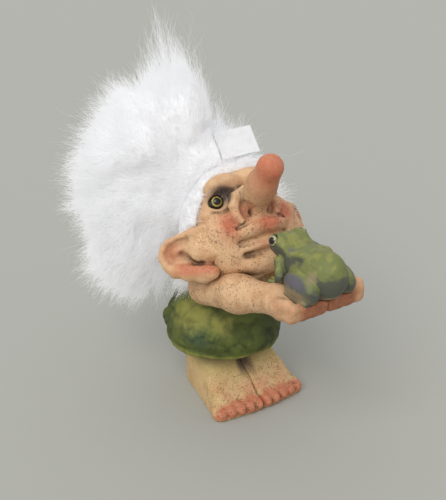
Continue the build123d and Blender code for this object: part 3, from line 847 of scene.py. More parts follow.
def paint_ear(points, outward):
    """Masks of an ear: rust in the groove and the hollow, and blush on the lobe."""
    at = (points - EAR_ROOT) @ EAR.T
    front = rise(outward @ EAR_FACE, -0.2, 0.5)
    groove = score(at, EAR_GROOVE, 1, 1.6)
    bowl = score(at, EAR_BOWL, 1, 1.8)
    lobe = rise(at[..., 1], -11.0, -7.4) * rise(at[..., 1], -2.8, -5.0) * rise(at[..., 0], 17.5, 11.0)
    blush = np.maximum(lobe * 0.8, patch(at, (15.5, 1.0, 0), (5.0, 5.2, 5)) * 0.8) * front
    stain = np.maximum(groove * 0.5, bowl * 0.7) * front
    pores = 0.3 + 0.7 * patch(at, (2, 3, 0), (7, 7, 7))
    # The hollow by the lobe gets the crease wash, with painted shade.
    return {"blush": blush, "pores": pores, "stain": stain, "crease": bowl * front * 0.8}


class TROLL_OT_ears(bpy.types.Operator):
    """Cast and paint both ears"""
    bl_idname = "troll.ears"
    bl_label = "Ears"

    def execute(self, context):
        return casting("left_ear", ear_form, paint_ear, below=4, above=4)


# The frog

FROG_EYE = (6.9, -49.2, 95.6)
FROG_RUMP = ((0, -69.5, 87.2), (9.8, 14.0, 9.6))
FROG_MASSES = {"hump": (melt, (0, -74.5, 91.0), (7.2, 9.5, 8.3), 4),
               "shoulders": (melt, (0, -58.0, 88.4), (7.4, 9.5, 7.4), 4),
               "haunch": (melt, (9.0, -71.0, 84.5), (5.0, 10.2, 6.2), 1.0)}
FROG_HEAD = {"skull": (melt, (0, -50.5, 92.2), (7.6, 7.0, 5.7), 2.5),
             "snout": (melt, (0, -45.2, 90.8), (5.8, 4.6, 3.7), 2.5),
             "brow": (melt, (5.6, -49.4, 95.2), (3.0, 3.6, 3.2), 1.6)}
FROG_RIDGE = (((5.6, -52, 95), 1.6), ((6.2, -60, 93.5), 1.5), ((5.6, -68, 96), 1.4))
FROG_ARM = (((7.0, -54, 88), 2.8), ((9.0, -57.5, 83.5), 2.3), ((8.4, -55.5, 79.8), 2.0))
FROG_PALM = (8.4, -55.5, 79.6)
FROG_TOES = ((5.6, -51.5), (8.2, -50.6), (10.8, -52.2))
FROG_FOOT = (((11.5, -66, 80.6), 2.0), ((11.2, -76, 80.4), 2.2))
FROG_MOUTH = ((0, -41.5, 90.2), (4.2, -43.4, 90.0), (7.0, -47.5, 90.6), (7.6, -51.0, 91.5))


def frog_rough(at):
    """The frog's main masses, which the hands close round."""
    return shaped(egg(at, *FROG_RUMP), at, FROG_MASSES)


def frog_form(points):
    """A squatting frog with raised eyes, folded hind legs and front legs set down."""
    at = folded(points)
    form = shaped(frog_rough(at), at, FROG_HEAD)
    form = melt(form, chain(at, FROG_RIDGE, 2), 3.0)
    form = melt(form, chain(at, FROG_ARM, 2), 1.2)
    for toe_x, toe_y in FROG_TOES:
        form = melt(form, rod(at, FROG_PALM, (toe_x, toe_y, 79.2), 1.3, 0.9), 0.8)
    form = melt(form, chain(at, FROG_FOOT, 2), 0.9)
    form = scoop(form, egg(at, FROG_EYE, (2.6, 2.5, 2.5)), 0.4)
    form = form + score(at, FROG_MOUTH, 0.55, 0.5)
    return form + clay(points, (3.6, 1.5), 8, 1.3)


FROG_HAUNCH_SIDE = ((13, -71, 87), (5, 11, 5))
HAZE_SPOTS = {"haunch": ((13.0, -71, 88.0), (4.0, 9.5, 3.4), 1),
              "shoulder": ((6, -60, 95), (3, 3, 3), 0.7)}
HAZE_CHEEK = ((6, -45, 90), (4, 5, 4))
BELLY_SPOTS = {"under the haunch": ((14.0, -72, 82.5), (5, 9, 3.2), 1),
               "rump": ((9.5, -77, 92), (2.6, 3.0, 3.4), 1)}
# Dark spots on the back and haunch, and painted shade behind the front legs and at the rump.
DARK_SPOTS_AND_LIMB_SHADE = {"behind the arm": ((11.5, -61.5, 87.5), (3.5, 5, 4.5), 0.9),
              "back": ((9, -68, 93.5), (2, 2, 2), 0.9),
              "haunch": ((13.5, -76, 89), (2, 2, 2), 0.8),
              "rump": ((11, -81.5, 88), (4, 2.6, 4), 0.9)}


def paint_frog(points, outward):
    """Masks of the frog: green on top, blue grey and beige on the haunches, dark spots, painted shade between
    the limbs.
    """
    at = folded(points)
    back = rise(outward[:, 2], 0.0, 0.6) * rise(patch(at, *FROG_HAUNCH_SIDE), 0.9, 0.3)
    haze = np.maximum(spots(at, HAZE_SPOTS, np.sum), patch(at, *HAZE_CHEEK) * 0.8)
    belly = np.maximum(spots(at, BELLY_SPOTS, np.sum), rise(outward[:, 2], -0.3, -0.8) * 0.8)
    return {"back": back, "belly": belly, "haze": haze, "spots": spots(at, DARK_SPOTS_AND_LIMB_SHADE, np.sum)}


class TROLL_OT_frog(bpy.types.Operator):
    """Cast and paint the frog"""
    bl_idname = "troll.frog"
    bl_label = "Frog"

    def execute(self, context):
        return casting("frog_body", frog_form, paint_frog, "painted_frog", above=2.5)


# The arms, made as the left one

SHOULDER = ((17.0, -12.0, 59.5), 8.0)
ELBOW = ((16.6, -38.0, 68.4), 7.4)
WRIST = ((12.4, -58.5, 74.0), 6.2)
PALM = ((9.6, -65.5, 75.0), (10.2, 10.6, 4.7))
HEEL = ((12.5, -59, 74), (15.5, -67, 75.0), 5.6, 4.0)
THUMB_SIDE = ((19.5, -71, 79), (3.5, 5, 3.5))
THUMB = (((14.5, -62, 75), 3.4), ((18.2, -68, 77.4), 2.9), ((17.6, -73.4, 80.0), 2.6))
FINGERS, FIRST_FINGER, FINGER_PITCH, FINGER_RADIUS, FINGER_END = 4, 2.5, 4.7, 2.8, 2.6
PALM_SEAM = 0.1
WRIST_LINES, WRIST_LINE_PITCH, FIRST_WRIST_LINE = 3, 2.2, -52.5
ELBOW_FOLD = ((6, -33, 76), (14, -34, 76.5), (24, -33, 71))


def arm_form(points):
    """An arm whose open hand is held palm up: a thick rim of four fingers, and a thumb outside."""
    form = chain(points, (SHOULDER, ELBOW, WRIST), 6)
    form = melt(form, egg(points, *PALM), 4)
    form = melt(form, rod(points, *HEEL), 3)
    for finger in range(FINGERS):
        across = FIRST_FINGER + finger * FINGER_PITCH
        knuckle, joint = (across, -69, 74.4), (across, -74.6, 75.6)
        tip = (across, -76.2 + 0.25 * finger, 78.6)
        stations = ((knuckle, FINGER_RADIUS), (joint, FINGER_RADIUS), (tip, FINGER_END))
        form = melt(form, chain(points, stations, 2), 2.4)
    form = melt(form, chain(points, THUMB, 2), 1.4)
    form = meet(form, PALM_SEAM - points[..., 0], 0.2)
    form = scoop(form, frog_rough(folded(points)) - 0.1, 1.0)
    form = scoop(form, egg(to_face(points), CHIN, CHIN_RADII + 0.4), 1.0)
    for line in range(WRIST_LINES):
        back = FIRST_WRIST_LINE - WRIST_LINE_PITCH * line
        route = ((19.5, back, 76.5), (20.5, back - 0.8, 72.5), (17.5, back - 1.4, 68.0))
        form = form + score(points, route, 0.55, 0.5)
    form = form + score(points, ELBOW_FOLD, 0.5, 1.2)
    return form + clay(points, (4.5, 1.8), 11)


def paint_arm(points, outward):
    """Masks of an arm: orange fingertips, and pores on the forearm."""
    rim = rise(points[:, 1], -73.5, -76.0) * (0.25 + 0.75 * rise(points[:, 0], 16.0, 11.5))
    blush = np.maximum(rim * 0.8, patch(points, *THUMB_SIDE) * 0.25)
    pores = 0.45 + 0.55 * rise(points[:, 1], -64, -50)
    stain = np.maximum(rim * 0.7, 0.08 + 0.14 * rise(points[:, 1], -60, -72))
    return {"blush": blush, "pores": pores, "stain": stain}


class TROLL_OT_arms(bpy.types.Operator):
    """Cast and paint both arms with their hands"""
    bl_idname = "troll.arms"
    bl_label = "Arms"

    def execute(self, context):
        return casting("left_arm", arm_form, paint_arm, above=4)


# The legs, made as the left one

TOE_PITCH = 4.8
TOE_LINE = -33.0
TOE_BOW = 3.6
TOES = 5
FOOT_WIDTH = 24
FOOT_BACK = 9.5
FOOT_SIDES = {"heel side": ((16.5, FOOT_BACK, 0), (0.982, 0.187, 0), 4),
              "ball side": ((24.0, 0, 6.5), (0.911, 0, 0.412), 4),
              "instep": ((0, -30.0, 6.2), (0, -0.674, 0.739), 5)}
SHIN_SIDE, SHIN_FRONT, SHIN_BACK, SHIN_FOOT = 17.0, -13.0, 8.5, 20
TOE_RADII, TOE_INSET, TOE_HEIGHT = (2.7, 4.2, 2.7), 3.9, 3.2
CLEFT_DEPTH, CLEFT_WIDTH, CLEFT_CLIMB = 3.2, 2.6, (10.5, 20)
LEG_SEAM = 0.12
ANKLE_LINE = ((0.5, -24.5, 9.5), (12, -24.5, 9.5), (23, -23.0, 8.0))
LEG_TOP = 34


def toe_front(across):
    """Where the bowed front of the foot lies."""
    return TOE_LINE - TOE_BOW * (1 - (across / FOOT_WIDTH) ** 2)


def leg_form(points):
    """A stout leg on a wedge of a foot with five toes."""
    across, forward, height = (points[..., axis] for axis in range(3))
    foot = meet(forward - FOOT_BACK, toe_front(across) - forward, 2)
    for place, facing, blend in FOOT_SIDES.values():
        foot = meet(foot, plane(points, place, facing), blend)
    shin = meet(across - SHIN_SIDE, meet(SHIN_FRONT - forward, forward - SHIN_BACK, 5), 5)
    shin = meet(shin, SHIN_FOOT - height, 1)
    form = melt(foot, shin, 5)
    for toe in range(TOES):
        middle, knuckle = TOE_PITCH * (toe + 0.5), TOE_PITCH * (toe + 1)
        edge, joint = toe_front(middle), toe_front(knuckle)
        form = melt(form, egg(points, (middle, edge + TOE_INSET, TOE_HEIGHT), TOE_RADII), 2.4)
        form = form + score(points, ((knuckle, joint - 0.5, 1.5), (knuckle, joint + 4.0, 6.5)), 0.4, 0.8)
    form = form + score(points, ANKLE_LINE, 0.25, 1.2)
    form = form + CLEFT_DEPTH * np.exp(-(across / CLEFT_WIDTH) ** 2) * rise(height, *CLEFT_CLIMB)
    form = meet(form, LEG_SEAM - across, 1.6)
    form = meet(form, height - LEG_TOP, 0.5) + clay(points, (5.0, 1.9), 13, 1.3)
    return meet(form, -height, 0.8)


def paint_leg(points, outward):
    """Masks of a leg: orange toes, green sprayed past the tunic's hem, and painted shade between the legs and
    under the hem.
    """
    ragged = points[:, 1] + grain(points, 2.6, 15) * 1.6
    toes = rise(ragged, -28.5, -32.0) * rise(points[:, 2], 0.6, 1.8) * 0.85
    toes = np.maximum(toes, rise(ragged, -18, -29) * 0.4 * rise(grain(points, 4.0, 16), -0.2, 0.4))
    green = 0.42 + 0.58 * rise(points[:, 2], 9, 23)
    # Painted shade in the gap between the legs, in dark brown and blue black.
    legs_gap_shade = rise(points[:, 0], 5.6, 2.0) * rise(points[:, 2], 11, 16)
    pores = 0.35 + 0.65 * rise(points[:, 1], -12, -24)
    # Painted shade under the tunic's hem.
    dusk = rise(points[:, 2], 16, 24) * 0.65
    return {"blush": toes, "shadow": np.maximum(legs_gap_shade * 0.7, dusk), "pores": pores, "stain": legs_gap_shade * 0.5,
            "green": green * (1 - toes)}


class TROLL_OT_legs(bpy.types.Operator):
    """Cast and paint both legs with their feet"""
    bl_idname = "troll.legs"
    bl_label = "Legs"

    def execute(self, context):
        above = np.array((2, 2, LEG_TOP + 2 - corners_of("left_leg")[1][2]))
        return casting("left_leg", leg_form, paint_leg, grid="step", below=4, above=above)


# The tunic

TUNIC_OUTLINE = ((25.0, 25.0), (30.5, 27.3), (43.0, 23.8), (53.5, 17.0))
TUNIC_WALL = 2.6
TUNIC_FOOT, TUNIC_TOP = 24, 54.0
HEM_RADIUS, HEM_HEIGHT, HEM_ROLL = 25.6, 25.2, 1.5
STEEP_FACETS = 0.75
# Ochre patches on the side towards the key lamp: paint and painted highlight.
OCHRE_AND_HIGHLIGHT_SPOTS = {"right side": ((-22, -6, 44), (9, 13, 9), 1.1),
               "right breast": ((-13, -21, 42), (6, 6, 6), 0.8)}
DENT = ((-22, -13, 36), (6, 7, 5))


def facets(points):
    """Height of the tunic's broad facets, with soft folds where they meet."""
    leaning = points + points[..., 2:] * (0.45, 0.45, 0)
    return np.abs(grain(leaning, 14.0, 21)) * 1.5 + np.abs(grain(leaning, 6.5, 22)) * 1.2


def tunic_form(points):
    """A crumpled bell with a thick hem, hollow inside."""
    heights, radii = np.array(TUNIC_OUTLINE).T
    outline = np.polyfit(heights, radii, 3)
    height = points[..., 2]
    around = np.hypot(points[..., 0], points[..., 1])
    wall = np.polyval(outline, np.clip(height, TUNIC_FOOT, TUNIC_TOP + 1))
    turn = np.arctan2(points[..., 1], points[..., 0])
    hem = HEM_HEIGHT + 0.5 * np.sin(3 * turn + 1) + 0.4 * np.sin(7 * turn)
    form = (around - wall) * 0.86 + 0.8 - facets(points)
    lip = np.hypot(around - HEM_RADIUS, height - hem - 1.0) - HEM_ROLL
    form = melt(form, lip, 2.0)
    form = scoop(form, (around - wall + TUNIC_WALL) * 0.9, 0.8)
    form = meet(form, meet(hem - height, height - TUNIC_TOP, 1), 1.0)
    return (form + setting("troll_casting").lump * grain(points, 2.2, 23)) * STEEP_FACETS


def paint_tunic(points, outward):
    """Masks of the tunic: ochre and painted highlight, a blue green dent, painted shade in folds and under
    the arm.
    """
    facet = facets(points)
    # Painted shade in the valleys between the facets.
    fold = rise(facet, 0.9, 0.1)
    ochre = spots(points, OCHRE_AND_HIGHLIGHT_SPOTS, np.sum)
    # Ochre along the hem, and ochre on the raised facets as painted highlight.
    ochre = ochre + rise(points[:, 2], 28.5, 26.5) * 0.75 + rise(facet, 1.0, 2.4) * 0.25
    # Painted shade on the side under the arm.
    dusk = rise(points[:, 0] - points[:, 1] * 0.5, 8, 22) * rise(points[:, 1], 12, 0)
    return {"ochre": ochre, "dent": patch(points, *DENT), "dusk": dusk, "crease": fold * 0.35}


class TROLL_OT_tunic(bpy.types.Operator):
    """Cast and paint the tunic"""
    bl_idname = "troll.tunic"
    bl_label = "Tunic"

    def execute(self, context):
        return casting("tunic", tunic_form, paint_tunic, "painted_tunic", "step")


# The wig: soft cores, and strands that grow on them

PILE = (((-29.9, 29.6, 94.9), (23.5, 23.5, 39.0)), ((-21.9, 22.7, 117.9), (20.5, 20.5, 26.0)),
        ((-32.2, 25.0, 67.3), (16.5, 16.5, 21.5)), ((2.3, 8.9, 104.1), (17.0, 17.0, 17.0)),
        ((5.75, 7.75, 82.7), (19.5, 19.5, 19.5)), ((-14.0, 16.0, 90.0), (21.0, 20.0, 26.0)),
        ((-10.5, 14.0, 119.0), (11.5, 12.0, 28.0)))
LOBE_BLEND = 9
PILE_DEPTH = 1.2
PILE_STEP, SHORT_STEP = 1.1, 0.7
SCALP, HAIRLINE_SCALP, NAPE_SCALP = 2.3, 0.3, 0.8
NECK_ROOM = 8.0
TAG_MIDDLE, TAG_HALF_SIZE = (10, 46, 27), (11.2, 30, 20.2)
PARTING = np.array((-4.0, 2.0, 95.0))
HAIRLINE_TILT = radians(16)
HAIRLINE_STAND = 5.5
HAIRLINE_OUT = np.array((0, -cos(HAIRLINE_TILT), sin(HAIRLINE_TILT)))
FRINGE_WIDTH, FRINGE_DEPTH = 6.6, 2.7
FRINGE_LOW, FRINGE_TOP = -12.0, 82.5
FRINGE_DENSITY = 5.0
GUARD_DENSITY = 0.05
NAPE_RADIUS, NAPE_HEIGHT, NAPE_DEPTH = 18, 57.4, 2.7
NAPE_TURN = radians(86)
STRAND_SEGMENTS = 5
STRAND_SIDES = 3
SHORTEST, LONGEST = 0.42, 1.2
LOCK_SIZE, STRAY_SIZE = 6.0, 5.0
TAPER = 0.75
# The core under the strands is painted darker: painted shade of the fur's depths.
CORE_SHADE_DIM = 0.88
HAIR_GLOW = 0.12
FUR_ROOM = 3.8
CREST = np.array((-10.5, 20.0))
CREST_REACH = 18.5
CREST_CLIMB = (112, 126)
CREST_NARROWING = ((0.7, 1.0), (1.15, 1.0))
GORE_MIDDLE = (-24, 22)
SWEEP = np.array((-0.10, 0.06, -0.10))
STAND = np.array((0, 0, 1.7))
HELD_SHARE = 0.45
BARE_BELOW = 0.15
ROOM_SHARE = 0.03


def before_hairline(points):
    """How far points stand in front of the plane that the hairline lies in."""
    return (points - SKULL - FACE_OUT * HAIRLINE_STAND) @ HAIRLINE_OUT


def clear_of_ears(points):
    """Distance to a room round each ear."""
    return egg((folded(points) - EAR_ROOT) @ EAR.T, *EAR_ROOM)


def tag_room(points):
    """Distance to the room that the card tag stands and lifts in."""
    return np.max(np.abs(to_face(points) - TAG_MIDDLE) - TAG_HALF_SIZE, axis=-1)


def pile_form(points):
    """The dense part of the long pile, which strands stand out of."""
    form = None
    for centre, radii in PILE:
        lobe = egg(points, centre, radii)
        form = lobe if form is None else melt(form, lobe, LOBE_BLEND)
    scalp = skull(points, SCALP)
    locks = grain(points, 13.0, 31) * 2.0 + grain(points, 5.0, 32) * 0.9
    form = form + PILE_DEPTH * rise(scalp, 5, 14) + locks
    form = scoop(form, scalp, 1)
    form = scoop(form, -FRINGE_WIDTH + 1.2 - before_hairline(points), 3)
    form = scoop(form, clear_of_ears(points), 1)
    form = scoop(form, tag_room(points), 1)
    return scoop(form, rod(points, (0, 0, 40), (0, 0, 80), NECK_ROOM, NECK_ROOM), 1)


def fringe_form(points):
    """A soft roll of short fur round the face, from one temple over the forehead to the other."""
    at = folded(to_face(points))
    scalp = skull(points, HAIRLINE_SCALP)
    ahead = before_hairline(points)
    front = np.clip(ahead + FRINGE_WIDTH / 2, 0, None) / (FRINGE_WIDTH / 2 + 0.3)
    roll = scalp - FRINGE_DEPTH * np.sqrt(np.clip(1 - front ** 2, 0.02, 1))
    form = meet(roll, np.abs(ahead + 5.6) - 5.9, 0.8) + grain(points, 5.0, 33) * 0.5
    form = scoop(form, scalp - 0.2, 0.4)
    form = scoop(form, egg(at, BROW, BROW_RADII + HAIRLINE_SCALP), 0.6)
    form = scoop(form, clear_of_ears(points), 0.6)
    return meet(meet(form, FRINGE_LOW - at[..., 1], 1), FRINGE_TOP - points[..., 2], 0.6)


def nape_form(points):
    """A soft half ring of fur between the head and the collar."""
    turn = np.clip(np.arctan2(points[..., 0], points[..., 1]), -NAPE_TURN, NAPE_TURN)
    ring = np.stack([NAPE_RADIUS * np.sin(turn), NAPE_RADIUS * np.cos(turn), 0 * turn + NAPE_HEIGHT], -1)
    form = np.linalg.norm(points - ring, axis=-1) - NAPE_DEPTH + grain(points, 4.0, 34) * 0.4
    form = scoop(form, skull(points, NAPE_SCALP), 0.6)
    return scoop(form, clear_of_ears(points), 0.6)


def strand_tree():
    """A tree that grows tapering strands on the faces it is given, along the ways stored on them."""
    tree = bpy.data.node_groups.new("fur_strands", "GeometryNodeTree")
    numbers = ("Density", "Length", "Width", "Clump", "Frizz")
    kinds = {"Geometry": "Geometry"} | dict.fromkeys(numbers, "Float")
    kinds = kinds | {"Seed": "Int", "Material": "Material"}
    for name, kind in kinds.items():
        tree.interface.new_socket(name=name, in_out="INPUT", socket_type="NodeSocket" + kind)
    tree.interface.new_socket(name="Geometry", in_out="OUTPUT", socket_type="NodeSocketGeometry")
    board = Board(tree)
    given = tree.nodes.new("NodeGroupInput")
    asked = {name: Tap(board, given.outputs[name]) for name in kinds}

    def kept(name, kind):
        """A value stored on the points."""
        return board.add("GeometryNodeInputNamedAttribute", {"data_type": kind}, {"Name": name})

    points = board.add("GeometryNodeDistributePointsOnFaces", {},
                       {"Mesh": asked["Geometry"], "Density": asked["Density"], "Seed": asked["Seed"]})
    points = board.add("GeometryNodeStoreNamedAttribute", {"data_type": "FLOAT_VECTOR"},
                       {"Geometry": points, "Name": "root", "Value": board.add("GeometryNodeInputPosition")})
    pick = board.add("FunctionNodeRandomValue", {}, {2: 0.0, 3: 1.0, "Seed": asked["Seed"]}, out=1)
    points = board.add("GeometryNodeStoreNamedAttribute", {},
                       {"Geometry": points, "Name": "pick", "Value": pick})
    line = board.add("GeometryNodeCurvePrimitiveLine", {}, {"End": (0, 0, MM)})
    line = board.add("GeometryNodeResampleCurve", {}, {"Curve": line, "Count": STRAND_SEGMENTS + 1})
    strands = board.add("GeometryNodeInstanceOnPoints", {}, {"Points": points, "Instance": line})
    strands = board.add("GeometryNodeRealizeInstances", {}, {0: strands})

    along = board.add("GeometryNodeSplineParameter")
    root, pick = kept("root", "FLOAT_VECTOR"), kept("pick", "FLOAT")
    reach = asked["Length"] * kept("reach", "FLOAT") * (pick ** 3.0 * (LONGEST - SHORTEST) + SHORTEST)
    late = along * along * 0.5
    run = board.vector("ADD", board.vector("SCALE", kept("comb", "FLOAT_VECTOR"), along - late),
                       board.vector("SCALE", kept("tip", "FLOAT_VECTOR"), late))
    place = board.vector("ADD", root, board.vector("SCALE", run, reach))

    def wander(size, where):
        """A way from -0.5 to 0.5 that drifts from place to place."""
        cloud = board.add("ShaderNodeTexNoise", {},
                          {"Vector": where, "Scale": 1 / (size * MM), "Detail": 1.0}, out=1)
        return board.vector("SUBTRACT", cloud, (0.5, 0.5, 0.5))

    lean = board.vector("SCALE", wander(LOCK_SIZE, root), asked["Clump"] * 4 * along * along)
    apart = board.vector("SCALE", root, pick * 0.4 + 1)
    passed = board.vector("ADD", apart, board.vector("SCALE", run, reach * 0.6))
    stray = board.vector("SCALE", wander(STRAY_SIZE, passed), asked["Frizz"] * 4 * along)
    place = board.vector("ADD", board.vector("ADD", place, lean), stray)
    strands = board.add("GeometryNodeSetPosition", {}, {"Geometry": strands, "Position": place})
    profile = board.add("GeometryNodeCurvePrimitiveCircle", {}, {"Resolution": STRAND_SIDES, "Radius": 0.5})
    width = asked["Width"] * (1 - along * TAPER)
    strands = board.add("GeometryNodeCurveToMesh", {},
                        {"Curve": strands, "Profile Curve": profile, "Scale": width, "Fill Caps": True})
    strands = board.add("GeometryNodeRealizeInstances", {}, {0: strands})
    strands = board.add("GeometryNodeSetMaterial", {}, {"Geometry": strands, "Material": asked["Material"]})
    tree.links.new(strands.socket, tree.nodes.new("NodeGroupOutput").inputs["Geometry"])
    return tree


def crest_share(points):
    """1 in the middle of the crest, where strands stand up, and 0 outside it."""
    offset = points[:, :2] - CREST
    beside = np.linalg.norm(offset * np.where(offset[:, :1] > 0, *CREST_NARROWING), axis=-1)
    return rise(points[:, 2], *CREST_CLIMB) * np.clip(1 - beside / CREST_REACH, 0, 1)


def open_air(points):
    """1 where strands stand free, and 0 close to the scalp, the ears and the tag."""
    free = rise(skull(points, SCALP), 0.8, 3.0)
    return free * rise(clear_of_ears(points), 0.4, 3.0) * rise(tag_room(points), 0.1, 1.5)


def off_the_face(points, way):
    """A way turned aside where it would lead over the face."""
    wall = rise(to_face(points)[:, 2], -6, 0)[:, None] * 0.75
    return unit(way - wall * FACE_OUT * np.clip(way @ FACE_OUT, 0, 1)[:, None])


def combed(points, outward, lift, brush, swirl):
    """Ways in which strands leave the fur and in which they end, away from the parting."""
    away = unit(points - PARTING)
    lying = away - outward * np.sum(away * outward, -1, keepdims=True)
    turn = np.stack([grain(points, 16.0, seed) for seed in (41, 42, 43)], -1) * swirl
    comb = unit(lying * 0.9 + outward * lift + turn + brush)
    tip = unit(away * 0.8 + outward * lift * 0.5 + brush * 2 + turn * 1.2)
    return comb, tip


def kept_in(points, way, length, reach):
    """Shares of a length, made smaller where a strand would leave the room that the fur may fill."""
    limits = np.array(cad_box) / MM
    spread = (limits[1] - limits[0]) * ROOM_SHARE + FUR_ROOM
    low, high = limits[0] - spread, limits[1] + spread
    ahead = np.where(way > 0, high - points, points - low) / np.maximum(np.abs(way), 1e-3)
    return np.minimum(reach, np.clip(ahead.min(axis=-1), 1, None) / (length * LONGEST))


def fur_core(name, form, node, below, above, step):
    """Cast the soft core that strands grow on, a little past the box of its CAD node."""
    low, high = corners_of(node)
    points, quads, outward = cast(form, low - below, high + above, step)
    declare(build_mesh(name + "_core", points, quads), bpy.data.materials["fur_core"], node)
    return points, quads, outward


def grow(name, core, faces, ways, reach, density, values, seed, node):
    """Grow strands on some faces of a core, as a piece of their own."""
    points, quads, _ = core
    used, order = np.unique(quads[faces], return_inverse=True)
    source = build_mesh(name + "_source", points[used], order.reshape(-1, 4))
    for key, vectors in zip(("comb", "tip"), ways):
        add_way(source, key, vectors[used])
    add_mask(source, "reach", reach[used])
    tree = bpy.data.node_groups.get("fur_strands") or strand_tree()
    fur = setting("troll_fur")
    values = {"Density": density / MM ** 2, "Length": fur.pile_length * MM, "Width": fur.width * MM,
              "Clump": fur.clump * MM, "Frizz": fur.frizz * MM, "Seed": seed,
              "Material": bpy.data.materials["white_fur"]} | values
    modifier = source.modifiers.new("fur", "NODES")
    modifier.node_group = tree
    for item in tree.interface.items_tree:
        if item.in_out == "INPUT" and item.name in values:
            modifier[item.identifier] = values[item.name]
    evaluated = source.evaluated_get(bpy.context.evaluated_depsgraph_get())
    mesh = bpy.data.meshes.new_from_object(evaluated)
    bpy.data.objects.remove(source)
    for attribute in ("root", "pick", "comb", "tip", "reach"):
        if attribute in mesh.attributes:
            mesh.attributes.remove(mesh.attributes[attribute])
    declare(link_mesh(name, mesh), bpy.data.materials["white_fur"], node)


def face_areas(points, quads):
    """Area of each face in square millimetres."""
    corners = points[quads]
    return np.linalg.norm(np.cross(corners[:, 2] - corners[:, 0], corners[:, 3] - corners[:, 1]), axis=-1) / 2


class TROLL_OT_wig(bpy.types.Operator):
    """Grow the long pile of the wig on its soft core"""
    bl_idname = "troll.wig"
    bl_label = "Wig"

    def execute(self, context):
        fur = setting("troll_fur")
        core = fur_core("pile", pile_form, "wig_pile", 2, 2, PILE_STEP)
        points, quads, outward = core
        crest, free = crest_share(points), open_air(points)
        brush = SWEEP * rise(points[:, 2], 135, 110)[:, None] + STAND * np.sqrt(crest)[:, None]
        ways = [off_the_face(points, way) for way in combed(points, outward, 0.5, brush, 0.5)]
        reach = 1 + crest * (fur.crest_length / fur.pile_length - 1)
        reach = (HELD_SHARE + (1 - HELD_SHARE) * free) * reach * (1 + 0.35 * grain(points, 9.0, 45))
        reach = kept_in(points, ways[1], fur.pile_length, reach)
        middle = points[quads].mean(axis=1)[:, :2] - GORE_MIDDLE
        around = np.arctan2(middle[:, 1], middle[:, 0])
        grown = np.flatnonzero(free[quads].mean(axis=1) > BARE_BELOW)
        grown = grown[np.argsort(around[grown])]
        areas = face_areas(points, quads)
        for number, gore in enumerate(np.array_split(grown, fur.gores), 1):
            density = fur.gore_strands / areas[gore].sum()
            grow(f"pile_gore_{number}", core, gore, ways, reach, density, {}, number, "wig_pile")
        ways = combed(points, outward, 0.9, brush * 2, 0.9)
        reach = kept_in(points, ways[1], fur.guard_length, 1 + 1.6 * crest)
        values = {"Length": fur.guard_length * MM, "Frizz": 1.4 * fur.frizz * MM,
                  "Width": 0.7 * fur.width * MM}
        grow("guard_hairs", core, grown, ways, reach, GUARD_DENSITY, values, fur.gores + 1, "wig_pile")
        return {"FINISHED"}


SHORT_FUR = {"fringe": (fringe_form, "wig_fringe", HAIRLINE_OUT * 0.8, 21),
             "nape": (nape_form, "nape_fur", np.array((-0.2, 0.1, -0.5)), 22)}


class TROLL_OT_short_fur(bpy.types.Operator):
    """Grow the short fur along the hairline and at the nape"""
    bl_idname = "troll.short_fur"
    bl_label = "Short fur"

    def execute(self, context):
        fur = setting("troll_fur")
        values = {"Length": fur.fringe_length * MM, "Clump": 1.0 * MM, "Frizz": 1.8 * MM,
                  "Width": 1.3 * fur.width * MM}
        for name, (form, node, ahead, seed) in SHORT_FUR.items():
            core = fur_core(name, form, node, 3, 4, SHORT_STEP)
            points, quads, outward = core
            turn = np.stack([grain(points, 4.0, seed + axis) for axis in range(3)], -1)
            comb = unit(outward * 0.8 + ahead + turn * 0.4)
            tip = unit(outward * 0.5 + ahead * 1.6 + turn * 0.9)
            reach = 0.55 + 0.45 * rise(skull(points, HAIRLINE_SCALP), 0.3, 1.4)
            reach = reach * (1 + 0.4 * grain(points, 3.0, seed + 4))
            density = min(FRINGE_DENSITY, fur.gore_strands / face_areas(points, quads).sum())
            grown = np.arange(len(quads))
            grow(name + "_strands", core, grown, (comb, tip), reach, density, values, seed, node)
        return {"FINISHED"}


# Glass eyes

EYE_RINGS, EYE_SIDES = 24, 48
EYE_RADIUS, FROG_EYE_RADIUS = 3.05, 2.35
GOLD, CREAM = (0.55, 0.42, 0.10), (0.60, 0.54, 0.30)


def glass_eye(name, centre, way, radius, material, node):
    """A glass ball whose iris faces along the way given. Its mask is 0 at the iris's middle."""
    way = unit(np.asarray(way, float))
    side = unit(np.cross(way, (0.1, 0.2, 0.97)))
    up = np.cross(way, side)
    turns = np.linspace(0, pi, EYE_RINGS + 1)[1:-1, None, None]
    around = np.linspace(0, 2 * pi, EYE_SIDES, endpoint=False)[:, None]
    rings = np.cos(turns) * way + np.sin(turns) * (np.cos(around) * side + np.sin(around) * up)
    points = np.concatenate([[way], rings.reshape(-1, 3), [-way]])
    here = 1 + np.arange(len(turns) * EYE_SIDES).reshape(-1, EYE_SIDES)
    beside = np.roll(here, -1, axis=1)
    front = np.stack([0 * here[0], here[0], beside[0]], -1)
    bands = np.stack([here[:-1], here[1:], beside[1:], beside[:-1]], -1).reshape(-1, 4)
    back = np.stack([0 * here[0] + len(points) - 1, beside[-1], here[-1]], -1)
    made = build_mesh(name, centre + radius * points, front.tolist() + bands.tolist() + back.tolist())
    add_mask(made, "ring", np.hypot(points @ side, points @ up) + (points @ way < 0))
    declare(made, material, node)


